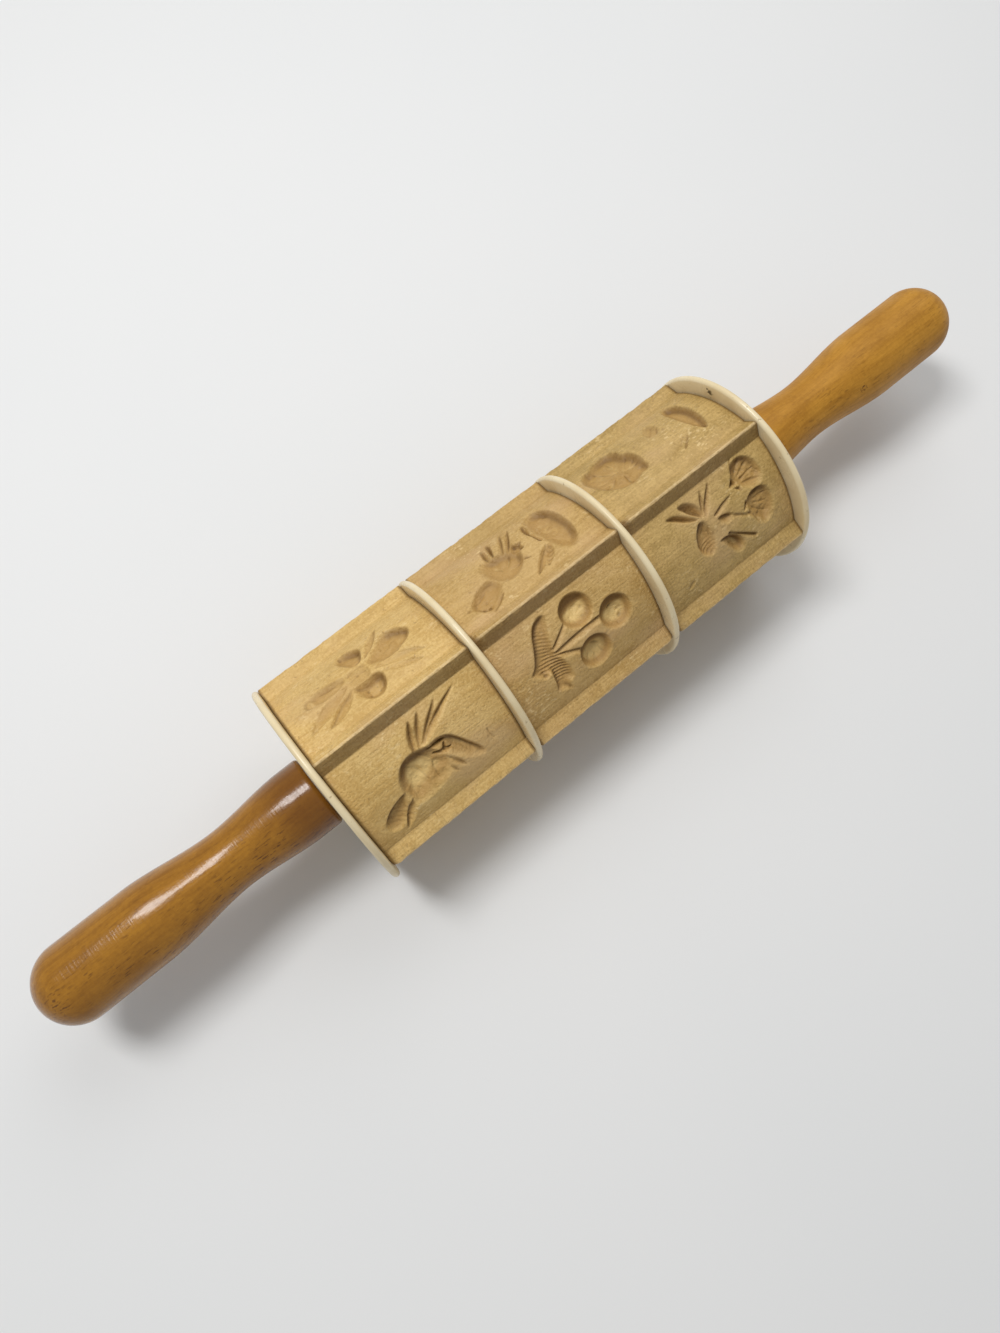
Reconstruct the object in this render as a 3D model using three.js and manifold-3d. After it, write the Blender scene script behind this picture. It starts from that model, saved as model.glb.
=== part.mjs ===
// Springerle rolling pin: a carved wooden roller that turns on a steel axle between two turned handles.
// Millimetres. X runs along the pin, Z is up, and the origin is on the axle at the middle of the roller.

import * as THREE from 'three';
import { mergeVertices } from 'three/addons/utils/BufferGeometryUtils.js';
import Module from 'manifold-3d';

const wasm = await Module();
wasm.setup();

const DEGREE = Math.PI / 180;

// Carved blocks
const SEGMENT_LENGTH = 57;
const PANEL_COUNT = 5;
const PANEL_MIDDLE_RADIUS = 31.7;
const PANEL_CROWN_RADIUS = 44;
const RIDGE_BASE_WIDTH = 6.8;
const RIDGE_CREST_WIDTH = 0.8;
const RIDGE_HEIGHT = 4.45;
const FIRST_RIDGE_ANGLE = -4 * DEGREE;

// Carved hollows
const BOWL_DEPTH = 3.8;
const OVAL_DEPTH = 3;
const LEAF_DEPTH = 2.2;
const SPIKE_WIDTH = 1.9;
const SPIKE_DEPTH = 1.4;
const STEM_WIDTH = 1.1;
const STEM_DEPTH = 0.9;

// Plastic discs
const DISC_THICKNESS = 2.5;
const DISC_OVERHANG = 0.5;
const DISC_RIM_CHAMFER = 0.5;

// Axle, bushes and washers
const AXLE_RADIUS = 4;
const AXLE_GRIP_LENGTH = 60;
const AXLE_PASSAGE = 0.6;
const BUSH_WALL = 3;
const BUSH_LENGTH = 18;
const WASHER_RADIUS = 10;
const WASHER_THICKNESS = 1;

// Pegs
const PEG_RADIUS = 3;
const PEG_DEPTH = 10;
const PEG_CIRCLE_RADIUS = 20;

// Handles
const HANDLE_LENGTH = 105;
const HANDLE_COLLAR_RADIUS = 12.7;
const HANDLE_COLLAR_LENGTH = 8;
const HANDLE_WAIST_RADIUS = 10.5;
const HANDLE_WAIST_AT = 35;
const HANDLE_GRIP_RADIUS = 13.4;
const HANDLE_GRIP_AT = 67;
const HANDLE_NOSE_LENGTH = 12.5;
const HANDLE_EDGE_ROUNDING = 1.5;
const HANDLE_BORE_SPARE = 0.5;

// Clearances
const RUNNING_CLEARANCE = 0.08;
const SEATED_CLEARANCE = 0.1;
const END_PLAY = 0.25;

// Facets
const DISC_SIDES = 36;
const HANDLE_SIDES = 24;
const ROUND_SIDES = 24;
const PEG_SIDES = 12;
const PANEL_STEPS = 6;
const CURVE_STEPS = 5;

// Places worked out from the sizes
const SEGMENT_PITCH = SEGMENT_LENGTH + DISC_THICKNESS;
const ROLLER_HALF_LENGTH = 1.5 * SEGMENT_LENGTH + 2 * DISC_THICKNESS;
const HANDLE_FACE = ROLLER_HALF_LENGTH + END_PLAY + WASHER_THICKNESS;
const AXLE_HALF_LENGTH = HANDLE_FACE + AXLE_GRIP_LENGTH;
const HALF_PANEL_ANGLE = Math.PI / PANEL_COUNT;
const BUSH_RADIUS = AXLE_RADIUS + RUNNING_CLEARANCE + BUSH_WALL;
const PASSAGE_RADIUS = AXLE_RADIUS + AXLE_PASSAGE;
const PANEL_ARC_CENTRE = PANEL_MIDDLE_RADIUS - PANEL_CROWN_RADIUS;
const PANEL_HALF_ARC = HALF_PANEL_ANGLE + Math.asin(
  (PANEL_ARC_CENTRE * Math.sin(HALF_PANEL_ANGLE) - RIDGE_BASE_WIDTH / 2) / PANEL_CROWN_RADIUS,
);
const RIDGE_BASE_RADIUS = PANEL_ARC_CENTRE * Math.cos(HALF_PANEL_ANGLE)
  + PANEL_CROWN_RADIUS * Math.cos(PANEL_HALF_ARC - HALF_PANEL_ANGLE);
const RIDGE_CREST_RADIUS = RIDGE_BASE_RADIUS + RIDGE_HEIGHT;
const DISC_RADIUS = RIDGE_CREST_RADIUS + DISC_OVERHANG;
const SIDES = { left: -1, right: 1 };
const PEG_PLACES = { front: -PEG_CIRCLE_RADIUS, back: PEG_CIRCLE_RADIUS };

// Materials
const CARVED_WOOD = { color: 0xc8a56c, roughness: 0.62, metalness: 0 };
const PEG_WOOD = { color: 0xb98f57, roughness: 0.7, metalness: 0 };
const VARNISHED_WOOD = { color: 0xb1702c, roughness: 0.32, metalness: 0 };
const CREAM_PLASTIC = { color: 0xece2c8, roughness: 0.3, metalness: 0 };
const WHITE_NYLON = { color: 0xe4e1d8, roughness: 0.45, metalness: 0 };
const STEEL = { color: 0xb9bcc0, roughness: 0.3, metalness: 1 };

// Solids

// The radius of the corners of a regular polygon whose flats lie at the given radius.
function cornerRadius(flatRadius, sides) {
  return flatRadius / Math.cos(Math.PI / sides);
}

// A body turned about the X axis. Its [x, radius] points rise along x on the outside.
// Without a first angle a flat of the polygon faces down.
function turned(points, sides, firstAngle = Math.PI / sides) {
  const profile = points.map(([x, radius]) => new THREE.Vector2(radius, x));
  const geometry = new THREE.LatheGeometry(profile, sides, firstAngle);
  geometry.rotateZ(-Math.PI / 2);
  return geometry;
}

// A plain cylinder along X.
function rod(radius, fromX, toX, sides) {
  return turned([[fromX, 0], [fromX, radius], [toX, radius], [toX, 0]], sides);
}

// A cylinder along X with a hole right through it.
function ring(innerRadius, outerRadius, fromX, toX, sides) {
  const points = [
    [fromX, innerRadius],
    [fromX, outerRadius],
    [toX, outerRadius],
    [toX, innerRadius],
    [fromX, innerRadius],
  ];
  return turned(points, sides);
}

// The same profile on the right side of the pin, or turned round for the left.
function onSide(side, points) {
  const placed = points.map(([x, radius]) => [side * x, radius]);
  return side > 0 ? placed : placed.reverse();
}

function toSolid(geometry) {
  const bare = geometry.clone();
  bare.deleteAttribute('normal');
  bare.deleteAttribute('uv');
  const merged = mergeVertices(bare);
  const corners = merged.index.array;
  const triangles = [];
  for (let i = 0; i < corners.length; i += 3) {
    const [a, b, c] = corners.subarray(i, i + 3);
    if (a !== b && b !== c && c !== a) {
      triangles.push(a, b, c);
    }
  }
  return new wasm.Manifold(new wasm.Mesh({
    numProp: 3,
    vertProperties: merged.attributes.position.array,
    triVerts: Uint32Array.from(triangles),
  }));
}

function toGeometry(solid) {
  const mesh = solid.getMesh();
  const geometry = new THREE.BufferGeometry();
  geometry.setAttribute('position', new THREE.BufferAttribute(mesh.vertProperties, 3));
  geometry.setIndex(new THREE.BufferAttribute(mesh.triVerts, 1));
  geometry.computeVertexNormals();
  return geometry;
}

function cut(geometry, tools) {
  let solid = toSolid(geometry);
  for (const tool of tools) {
    solid = solid.subtract(toSolid(tool));
  }
  return toGeometry(solid);
}

function piece(name, geometry, look, x = 0) {
  const mesh = new THREE.Mesh(geometry, new THREE.MeshStandardMaterial(look));
  mesh.name = name;
  mesh.position.set(x, 0, 0);
  return mesh;
}

// Peg holes on the peg circle, between two places along X.
function pegHoles(fromX, toX) {
  return Object.values(PEG_PLACES).map((y) => {
    const hole = rod(PEG_RADIUS + SEATED_CLEARANCE, fromX, toX, PEG_SIDES);
    return hole.translate(0, y, 0);
  });
}

// Carved hollows. Each lies on a panel at u along the pin and v around it, from the panel's middle.

// A gouge leaves a round hollow with round ends, and a knife a V-shaped cut with pointed ends.
const GOUGE = { endSharpness: 1, steps: 6, sides: 8 };
const KNIFE = { endSharpness: 1.7, steps: 4, sides: 4 };

// The cutter's path is a spindle that is sunk halfway into the panel.
function hollow(u, v, length, width, angle, depth, cutter) {
  return { u, v, length, width, angle: angle * DEGREE, depth, cutter };
}

function bowl(u, v, diameter) {
  return hollow(u, v, diameter, diameter, 0, BOWL_DEPTH, GOUGE);
}

function oval(u, v, length, width, angle) {
  return hollow(u, v, length, width, angle, OVAL_DEPTH, GOUGE);
}

// A hollow from one point of the panel to another.
function between(fromU, fromV, toU, toV, width, depth, cutter) {
  const length = Math.hypot(toU - fromU, toV - fromV);
  const angle = Math.atan2(toV - fromV, toU - fromU) / DEGREE;
  return hollow((fromU + toU) / 2, (fromV + toV) / 2, length, width, angle, depth, cutter);
}

function leaf(fromU, fromV, toU, toV, width) {
  return between(fromU, fromV, toU, toV, width, LEAF_DEPTH, KNIFE);
}

function spike(fromU, fromV, toU, toV) {
  return between(fromU, fromV, toU, toV, SPIKE_WIDTH, SPIKE_DEPTH, KNIFE);
}

function stem(fromU, fromV, toU, toV) {
  return between(fromU, fromV, toU, toV, STEM_WIDTH, STEM_DEPTH, KNIFE);
}

// Hollows set around a point, each pointing away from it.
function petals(u, v, count, reach, length, width, firstAngle, sweep = 360) {
  const step = sweep === 360 ? sweep / count : sweep / (count - 1);
  return Array.from({ length: count }, (_, index) => {
    const angle = firstAngle + index * step;
    const petalU = u + reach * Math.cos(angle * DEGREE);
    const petalV = v + reach * Math.sin(angle * DEGREE);
    return hollow(petalU, petalV, length, width, angle, LEAF_DEPTH, GOUGE);
  });
}

function bellSpray() {
  return [
    oval(-0.5, -9, 13, 10, 90),
    oval(0, 6.5, 11, 8, 80),
    oval(-2, -2, 7, 6, 0),
    leaf(2, -1, 20, 0, 9),
    leaf(-4, -1, -20.5, -1, 6),
    leaf(-5, -5.5, -23.5, -11.5, 4),
    leaf(-6, -8, -17.5, -13.5, 3),
    leaf(4, -6.5, 21, -11, 3.2),
    spike(3.5, 1, 12, 10),
  ];
}

function spikedBlossom() {
  return [
    spike(-2.5, 5, 1.2, 14.5),
    spike(-1.5, 4.5, 5, 15),
    spike(0, 5, 11.7, 15),
    spike(1, 5, 19, 14.7),
    hollow(-4.5, -2.4, 19, 14.5, -14, BOWL_DEPTH, GOUGE),
    leaf(2, 4.5, 15.5, -10.5, 8),
    oval(4, 1.2, 5.5, 4, -12),
    oval(-17.8, -8.2, 13, 8.5, 28),
    spike(-11, -8, -17.5, -15),
  ];
}

function roseBuds() {
  return [
    hollow(-4.6, -3.4, 15.5, 14, 30, BOWL_DEPTH, GOUGE),
    spike(-7, 2, -4.5, 10.5),
    spike(-4.5, -1, -2, 10.5),
    spike(-1, 0, 4, 11),
    spike(0, 0, 7.3, 10.5),
    oval(-15.8, -10, 12, 8, 32),
    oval(16.6, -3, 24, 9.5, 92),
    leaf(10, 6.5, 11, -6, 4),
    leaf(7.5, -9.5, 1.5, -15, 2.6),
    leaf(12.5, -8.5, 7, -14.5, 3),
  ];
}

function berrySprig() {
  return [
    bowl(3.6, 9.2, 11.2),
    bowl(14.7, 0.6, 11.2),
    bowl(3, -6.4, 11),
    stem(-9.5, 3, -1.5, 8),
    stem(-10, 1.7, 9.5, 2.6),
    stem(-9.5, 0.3, -1.5, -3.2),
    leaf(-17, -0.5, -6, 15, 6),
    leaf(-10.5, 3, -12.5, -13, 5),
    leaf(-20, 0.3, -12, -2.5, 3),
    spike(-9, 0, -7, -9),
  ];
}

function openFlower() {
  return [
    ...petals(-13.6, 0.3, 5, 5.2, 9, 8, 18),
    bowl(-13.6, 0.3, 8),
    oval(19, 0, 22, 7, 91),
    spike(2, -12, 12, -8),
    spike(4, 3, 9, 8),
  ];
}

function carnation() {
  return [
    oval(-5.4, 0.6, 13, 9, 82),
    leaf(-14.8, 13.7, -4, 7.5, 3.2),
    leaf(-10, 15, -2.8, 6.8, 6),
    spike(-2.5, 7, 0.3, 15),
    spike(-2.5, 7, 4.6, 15.3),
    leaf(-1, 5.5, 8.5, 7, 2.4),
    leaf(0, 3.4, 7, 1.8, 2.8),
    stem(6, 1.5, 12, -3),
    ...petals(11.5, 9, 3, 4.6, 9.5, 4.6, -20, 80),
    ...petals(11.5, -1.5, 3, 4.6, 9.5, 4.6, -65, 80),
    oval(4, -7.4, 9.5, 6.5, -38),
    stem(1, -3.4, 12, -11.5),
  ];
}

function pear() {
  return [
    hollow(-4, 0, 18, 16, 0, BOWL_DEPTH, GOUGE),
    oval(6, 0, 14, 9, 0),
    stem(11, 0, 19, 3),
    leaf(14, 1.5, 22, 11, 5),
    leaf(14, 1, 23, -8, 5),
    spike(-13, 0, -17, 3),
    spike(-13, 0, -17, -3),
  ];
}

function daisy() {
  return [
    ...petals(0, 3, 8, 7, 9.5, 4.2, 0),
    bowl(0, 3, 6),
    leaf(-5, -8, -18, -13, 4.6),
    leaf(5, -8, 18, -13, 4.6),
  ];
}

function acorns() {
  return [
    oval(-8, 2, 12, 8.5, 55),
    oval(-11.5, -4, 10, 4, -35),
    oval(8, 2, 12, 8.5, 125),
    oval(11.5, -4, 10, 4, 35),
    stem(-13, -6, 0, -14),
    stem(13, -6, 0, -14),
    leaf(0, -13, 0, 13, 6),
  ];
}

function tulip() {
  return [
    hollow(8, 0, 16, 11, 0, BOWL_DEPTH, GOUGE),
    leaf(6, 4, 20, 9, 6),
    leaf(6, -4, 20, -9, 6),
    stem(0, 0, -20, 0),
    leaf(-18, 1, 0, 11, 5),
    leaf(-18, -1, 0, -11, 5),
  ];
}

// A triangular bunch: each row along the pin has one grape less than the row before.
function grapes() {
  const firstRow = 3;
  const grape = 7;
  const pitch = 7.4;
  const rowPitch = pitch * Math.cos(30 * DEGREE);
  const firstRowAt = -5;
  const bunch = [];
  for (let row = 0; row < firstRow; row += 1) {
    const count = firstRow - row;
    for (let place = 0; place < count; place += 1) {
      bunch.push(bowl(firstRowAt + row * rowPitch, (place - (count - 1) / 2) * pitch, grape));
    }
  }
  return [...bunch, stem(-12, 0, -21, 2), leaf(-13, 2, -22, 13, 7), leaf(-13, -2, -22, -13, 7)];
}

// An ear of wheat: grains in pairs along a stalk.
function wheatEar() {
  const pairs = 4;
  const grainPitch = 6;
  const firstGrainAt = -8;
  const grains = [];
  for (let pair = 0; pair < pairs; pair += 1) {
    const u = firstGrainAt + pair * grainPitch;
    grains.push(leaf(u, 1, u + 7, 6.5, 4));
    grains.push(leaf(u, -1, u + 7, -6.5, 4));
  }
  return [...grains, stem(-22, 0, 20, 0), leaf(-20, 0, -9, 12, 3.4), leaf(-20, 0, -9, -12, 3.4)];
}

function strawberries() {
  return [
    hollow(-8, 3, 15, 12, -30, BOWL_DEPTH, GOUGE),
    hollow(10, -4, 13, 10.5, -30, BOWL_DEPTH, GOUGE),
    ...petals(-15.5, 7.5, 3, 3, 6, 2.6, 100, 100),
    ...petals(4, -0.5, 3, 3, 6, 2.6, 100, 100),
    leaf(2, 4, 14, 13, 6),
    leaf(-4, -5, -14, -13, 6),
  ];
}

function cherries() {
  return [
    bowl(-9, -6, 11),
    bowl(9, -6, 11),
    stem(-7, -1, 0, 12),
    stem(7, -1, 0, 12),
    leaf(0, 12, -17, 10, 6),
    leaf(0, 12, 17, 10, 6),
  ];
}

function oakLeaf() {
  return [
    leaf(-20, 0, 20, 0, 7),
    ...[-9, 0, 9].flatMap((u) => [
      hollow(u, 5, 11, 6, 55, LEAF_DEPTH, GOUGE),
      hollow(u, -5, 11, 6, -55, LEAF_DEPTH, GOUGE),
    ]),
    stem(-19, 0, -25, -3),
  ];
}

// Motifs of each block, panel by panel around the pin. The first and the last panel face up.
const MOTIFS = {
  left: [bellSpray, pear, daisy, acorns, spikedBlossom],
  middle: [roseBuds, tulip, grapes, wheatEar, berrySprig],
  right: [openFlower, strawberries, cherries, oakLeaf, carnation],
};

// Panel surface

// Angles are measured around X from straight up towards +Y.
function panelAngle(panel) {
  return FIRST_RIDGE_ANGLE + (2 * panel + 1) * HALF_PANEL_ANGLE;
}

// A point of a panel's crown, as distances across the panel and out from the axle.
function crownPoint(arcAngle) {
  return {
    across: PANEL_CROWN_RADIUS * Math.sin(arcAngle),
    out: PANEL_ARC_CENTRE + PANEL_CROWN_RADIUS * Math.cos(arcAngle),
  };
}

// From distances across and out to the Y and Z of a direction at an angle around the pin.
function toSection({ across, out }, angle) {
  const y = across * Math.cos(angle) + out * Math.sin(angle);
  const z = out * Math.cos(angle) - across * Math.sin(angle);
  return new THREE.Vector2(y, z);
}

function segmentSection() {
  const outline = [];
  for (let panel = 0; panel < PANEL_COUNT; panel += 1) {
    const angle = panelAngle(panel);
    for (let step = 0; step <= PANEL_STEPS; step += 1) {
      const arcAngle = PANEL_HALF_ARC * (2 * step / PANEL_STEPS - 1);
      outline.push(toSection(crownPoint(arcAngle), angle));
    }
    for (const edge of [-1, 1]) {
      const crest = { across: edge * RIDGE_CREST_WIDTH / 2, out: RIDGE_CREST_RADIUS };
      outline.push(toSection(crest, angle + HALF_PANEL_ANGLE));
    }
  }
  return new THREE.Shape(outline);
}

// A block along X, centred on the origin.
function segmentBlank() {
  const options = { depth: SEGMENT_LENGTH, bevelEnabled: false, steps: 1 };
  const geometry = new THREE.ExtrudeGeometry(segmentSection(), options);
  geometry.translate(0, 0, -SEGMENT_LENGTH / 2);
  const sectionToPin = new THREE.Matrix4().makeBasis(
    new THREE.Vector3(0, 1, 0),
    new THREE.Vector3(0, 0, 1),
    new THREE.Vector3(1, 0, 0),
  );
  return geometry.applyMatrix4(sectionToPin);
}

function hollowTool(shape, panel) {
  const { endSharpness, steps, sides } = shape.cutter;
  const points = [];
  for (let step = 0; step <= steps; step += 1) {
    const turn = Math.PI * step / steps;
    const atEnd = step === 0 || step === steps;
    const halfWidth = atEnd ? 0 : shape.width / 2 * Math.sin(turn) ** endSharpness;
    points.push([-shape.length / 2 * Math.cos(turn), halfWidth]);
  }
  const tool = turned(points, sides, 0);
  tool.scale(1, 1, shape.depth / (shape.width / 2));
  tool.rotateZ(shape.angle);
  const arcAngle = shape.v / PANEL_CROWN_RADIUS;
  const place = toSection(crownPoint(arcAngle), panelAngle(panel));
  tool.rotateX(-panelAngle(panel) - arcAngle);
  return tool.translate(shape.u, place.x, place.y);
}

function carving(motifs) {
  return motifs.flatMap((motif, panel) => motif().map((shape) => hollowTool(shape, panel)));
}

// Sub-parts

function segment(name, side) {
  const halfLength = SEGMENT_LENGTH / 2;
  const passage = rod(PASSAGE_RADIUS, -SEGMENT_LENGTH, SEGMENT_LENGTH, ROUND_SIDES);
  const tools = [
    passage,
    ...pegHoles(-SEGMENT_LENGTH, PEG_DEPTH - halfLength),
    ...pegHoles(halfLength - PEG_DEPTH, SEGMENT_LENGTH),
    ...carving(MOTIFS[name]),
  ];
  if (side !== 0) {
    const seatDepth = BUSH_LENGTH - DISC_THICKNESS;
    const ends = [side * (halfLength - seatDepth), side * SEGMENT_LENGTH];
    tools.push(rod(BUSH_RADIUS + SEATED_CLEARANCE, Math.min(...ends), Math.max(...ends), ROUND_SIDES));
  }
  return piece(`carved_segment_${name}`, cut(segmentBlank(), tools), CARVED_WOOD, side * SEGMENT_PITCH);
}

function disc(name, holeRadius, x) {
  const half = DISC_THICKNESS / 2;
  const rim = cornerRadius(DISC_RADIUS, DISC_SIDES);
  const points = [
    [-half, 0],
    [-half, rim - DISC_RIM_CHAMFER],
    [DISC_RIM_CHAMFER - half, rim],
    [half - DISC_RIM_CHAMFER, rim],
    [half, rim - DISC_RIM_CHAMFER],
    [half, 0],
  ];
  const hole = rod(holeRadius, -DISC_THICKNESS, DISC_THICKNESS, ROUND_SIDES);
  const tools = [hole, ...pegHoles(-DISC_THICKNESS, DISC_THICKNESS)];
  return piece(name, cut(turned(points, DISC_SIDES), tools), CREAM_PLASTIC, x);
}

function peg(name, length, x, y) {
  const mesh = piece(name, rod(PEG_RADIUS, -length / 2, length / 2, PEG_SIDES), PEG_WOOD, x);
  mesh.position.y = y;
  return mesh;
}

function bush(name, side) {
  const bore = cornerRadius(AXLE_RADIUS + RUNNING_CLEARANCE, ROUND_SIDES);
  const middle = side * (ROLLER_HALF_LENGTH - BUSH_LENGTH / 2);
  const sleeve = ring(bore, BUSH_RADIUS, -BUSH_LENGTH / 2, BUSH_LENGTH / 2, ROUND_SIDES);
  return piece(name, sleeve, WHITE_NYLON, middle);
}

function washer(name, side) {
  const hole = AXLE_RADIUS + SEATED_CLEARANCE;
  const middle = side * (HANDLE_FACE - WASHER_THICKNESS / 2);
  const half = WASHER_THICKNESS / 2;
  return piece(name, ring(hole, WASHER_RADIUS, -half, half, ROUND_SIDES), WHITE_NYLON, middle);
}

// A smooth run of the handle's outline from one place and radius to the next, without its first point.
function handleRun(fromX, fromRadius, toX, toRadius) {
  return Array.from({ length: CURVE_STEPS }, (_, index) => {
    const share = (index + 1) / CURVE_STEPS;
    const blend = (1 - Math.cos(Math.PI * share)) / 2;
    return [fromX + (toX - fromX) * share, fromRadius + (toRadius - fromRadius) * blend];
  });
}

// A quarter of an ellipse that closes the handle's outline on the axis.
function handleNose() {
  const start = HANDLE_LENGTH - HANDLE_NOSE_LENGTH;
  return Array.from({ length: CURVE_STEPS + 1 }, (_, index) => {
    const turn = Math.PI / 2 * index / CURVE_STEPS;
    const radius = index === CURVE_STEPS ? 0 : HANDLE_GRIP_RADIUS * Math.cos(turn);
    return [start + HANDLE_NOSE_LENGTH * Math.sin(turn), radius];
  });
}

function handle(name, side) {
  const boreRadius = AXLE_RADIUS + SEATED_CLEARANCE;
  const boreEnd = AXLE_GRIP_LENGTH + HANDLE_BORE_SPARE;
  const arcMiddle = HANDLE_EDGE_ROUNDING * (1 - Math.SQRT1_2);
  const points = [
    [boreEnd, 0],
    [boreEnd, boreRadius],
    [0, boreRadius],
    [0, HANDLE_COLLAR_RADIUS - HANDLE_EDGE_ROUNDING],
    [arcMiddle, HANDLE_COLLAR_RADIUS - arcMiddle],
    [HANDLE_EDGE_ROUNDING, HANDLE_COLLAR_RADIUS],
    [HANDLE_COLLAR_LENGTH, HANDLE_COLLAR_RADIUS],
    ...handleRun(HANDLE_COLLAR_LENGTH, HANDLE_COLLAR_RADIUS, HANDLE_WAIST_AT, HANDLE_WAIST_RADIUS),
    ...handleRun(HANDLE_WAIST_AT, HANDLE_WAIST_RADIUS, HANDLE_GRIP_AT, HANDLE_GRIP_RADIUS),
    ...handleNose(),
  ];
  return piece(name, turned(onSide(side, points), HANDLE_SIDES), VARNISHED_WOOD, side * HANDLE_FACE);
}

function roller() {
  const group = new THREE.Group();
  group.add(segment('middle', 0));
  for (const [word, side] of Object.entries(SIDES)) {
    const dividerAt = side * SEGMENT_PITCH / 2;
    const endDiscAt = side * (ROLLER_HALF_LENGTH - DISC_THICKNESS / 2);
    const endPegLength = DISC_THICKNESS + PEG_DEPTH - SEATED_CLEARANCE;
    const endPegAt = side * (ROLLER_HALF_LENGTH - endPegLength / 2);
    const dividerPegLength = DISC_THICKNESS + 2 * (PEG_DEPTH - SEATED_CLEARANCE);
    group.add(segment(word, side));
    group.add(disc(`end_disc_${word}`, BUSH_RADIUS + SEATED_CLEARANCE, endDiscAt));
    group.add(disc(`divider_disc_${word}`, PASSAGE_RADIUS, dividerAt));
    group.add(bush(`bearing_bush_${word}`, side));
    for (const [place, y] of Object.entries(PEG_PLACES)) {
      group.add(peg(`divider_peg_${word}_${place}`, dividerPegLength, dividerAt, y));
      group.add(peg(`end_peg_${word}_${place}`, endPegLength, endPegAt, y));
    }
  }
  return group;
}

function handlesAndAxle() {
  const group = new THREE.Group();
  group.add(piece('axle', rod(AXLE_RADIUS, -AXLE_HALF_LENGTH, AXLE_HALF_LENGTH, ROUND_SIDES), STEEL));
  for (const [word, side] of Object.entries(SIDES)) {
    group.add(washer(`thrust_washer_${word}`, side));
    group.add(handle(`handle_${word}`, side));
  }
  return group;
}

const rollingPin = new THREE.Group();
rollingPin.add(roller(), handlesAndAxle());

export default rollingPin;
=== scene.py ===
import math

import bpy
import numpy as np
from mathutils import Matrix, Vector


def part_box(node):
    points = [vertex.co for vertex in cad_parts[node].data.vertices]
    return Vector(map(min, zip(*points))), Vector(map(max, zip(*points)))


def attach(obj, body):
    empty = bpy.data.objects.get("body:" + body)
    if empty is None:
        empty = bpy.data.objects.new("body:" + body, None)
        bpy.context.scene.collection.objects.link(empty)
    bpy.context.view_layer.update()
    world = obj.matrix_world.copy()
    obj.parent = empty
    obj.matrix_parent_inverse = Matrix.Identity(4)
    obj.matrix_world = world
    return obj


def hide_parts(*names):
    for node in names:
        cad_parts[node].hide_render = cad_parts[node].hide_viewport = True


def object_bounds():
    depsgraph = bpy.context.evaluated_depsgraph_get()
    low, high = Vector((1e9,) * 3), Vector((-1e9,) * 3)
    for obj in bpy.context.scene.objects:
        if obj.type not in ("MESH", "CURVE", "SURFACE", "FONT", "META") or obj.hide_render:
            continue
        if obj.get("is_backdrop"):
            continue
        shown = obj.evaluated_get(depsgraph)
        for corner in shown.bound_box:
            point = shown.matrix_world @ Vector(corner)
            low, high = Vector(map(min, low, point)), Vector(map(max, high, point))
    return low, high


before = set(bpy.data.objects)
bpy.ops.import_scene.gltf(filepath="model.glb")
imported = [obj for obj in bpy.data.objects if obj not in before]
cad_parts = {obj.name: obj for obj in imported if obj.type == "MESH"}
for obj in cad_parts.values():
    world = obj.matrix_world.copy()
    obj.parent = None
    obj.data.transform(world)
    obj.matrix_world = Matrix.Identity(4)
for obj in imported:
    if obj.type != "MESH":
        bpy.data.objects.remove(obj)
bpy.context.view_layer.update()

MM = 0.001
TINY = 1e-6

# Section of the carved blocks, as in the solids, in millimetres
PANEL_COUNT = 5
PANEL_MIDDLE_RADIUS = 31.7
PANEL_CROWN_RADIUS = 44.0
RIDGE_BASE_WIDTH = 6.8
RIDGE_CREST_WIDTH = 0.8
RIDGE_HEIGHT = 4.45
FIRST_RIDGE_ANGLE = math.radians(-4)
AXLE_PASSAGE_RADIUS = 4.6

# Fineness of the carved blocks. Panels and the ridges after them are counted around the pin.
SEEN_PANELS = (0, 4)
SEEN_PANEL_ROWS = 132
HIDDEN_PANEL_ROWS = 92
MOTIF_REACH = 24.6
MOTIF_COLUMNS = 148
MARGIN_COLUMNS = 4
FLANK_SHARES = (0.05, 0.35, 0.65, 0.95)
LINE_STEPS = 12
CARVING_BLUR = 1

# Edges and wear of the carved blocks, in millimetres and degrees
BLOCK_EDGE_ROUNDING = 0.45
BLOCK_EDGE_TURNS = (25, 50, 75, 90)
BLOCK_SHARP_ANGLE = math.radians(42)
CREST_SWELL = 1.004
CREST_WEAR = 0.4
CREST_WEAR_BLUR = 40

# Ridge corners that broke off: ridge, end, length and drop in millimetres
CHIPPED_CORNERS = {
    "left": ((4, 1, 1.6, 0.7), (3, -1, 2.0, 0.9)),
    "middle": ((4, -1, 2.4, 1.6), (3, 1, 1.8, 0.8)),
    "right": ((4, -1, 2.8, 2.2), (3, -1, 1.6, 0.9)),
}

# Painted shade on the walls of a panel's hollows: which way the shaded walls lie, along and around the pin,
# and how dark they are
WALL_SHADE_SIDES = {0: (0.8, 0.6, 0.6), 4: (-0.2, 0.98, 1.0)}
WALL_SHADE_SIDES_ELSEWHERE = (0.25, 0.97, 0.7)
WALL_SHADE_BLUR = 30
WALL_SHADE_SLOPE = 0.5
WALL_SHADE_DEPTH = 0.3

# Painted shade, with some grime, in the corners of the hollows, and painted shade along their rims by depth
CORNER_BLUR = 14
CORNER_DEPTH = 0.45
RIM_DEPTHS = (0.0, 0.1, 0.25, 0.75)
RIM_SHARES = (0.0, 0.5, 0.5, 0.0)
RIM_SLOPE = 0.3

# Painted shade at the foot of the ridges and at the joints with the discs: how much, how wide and how far it
# fades, in millimetres
FOOT_SHADE = {0: 0.1}
FOOT_SHADE_ELSEWHERE = 0.6
FOOT_SHADE_WIDTH = 0.9
DISC_JOINT_SHADE_WIDTH = 0.9
DISC_JOINT_SHADE_FADE = 0.45
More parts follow.
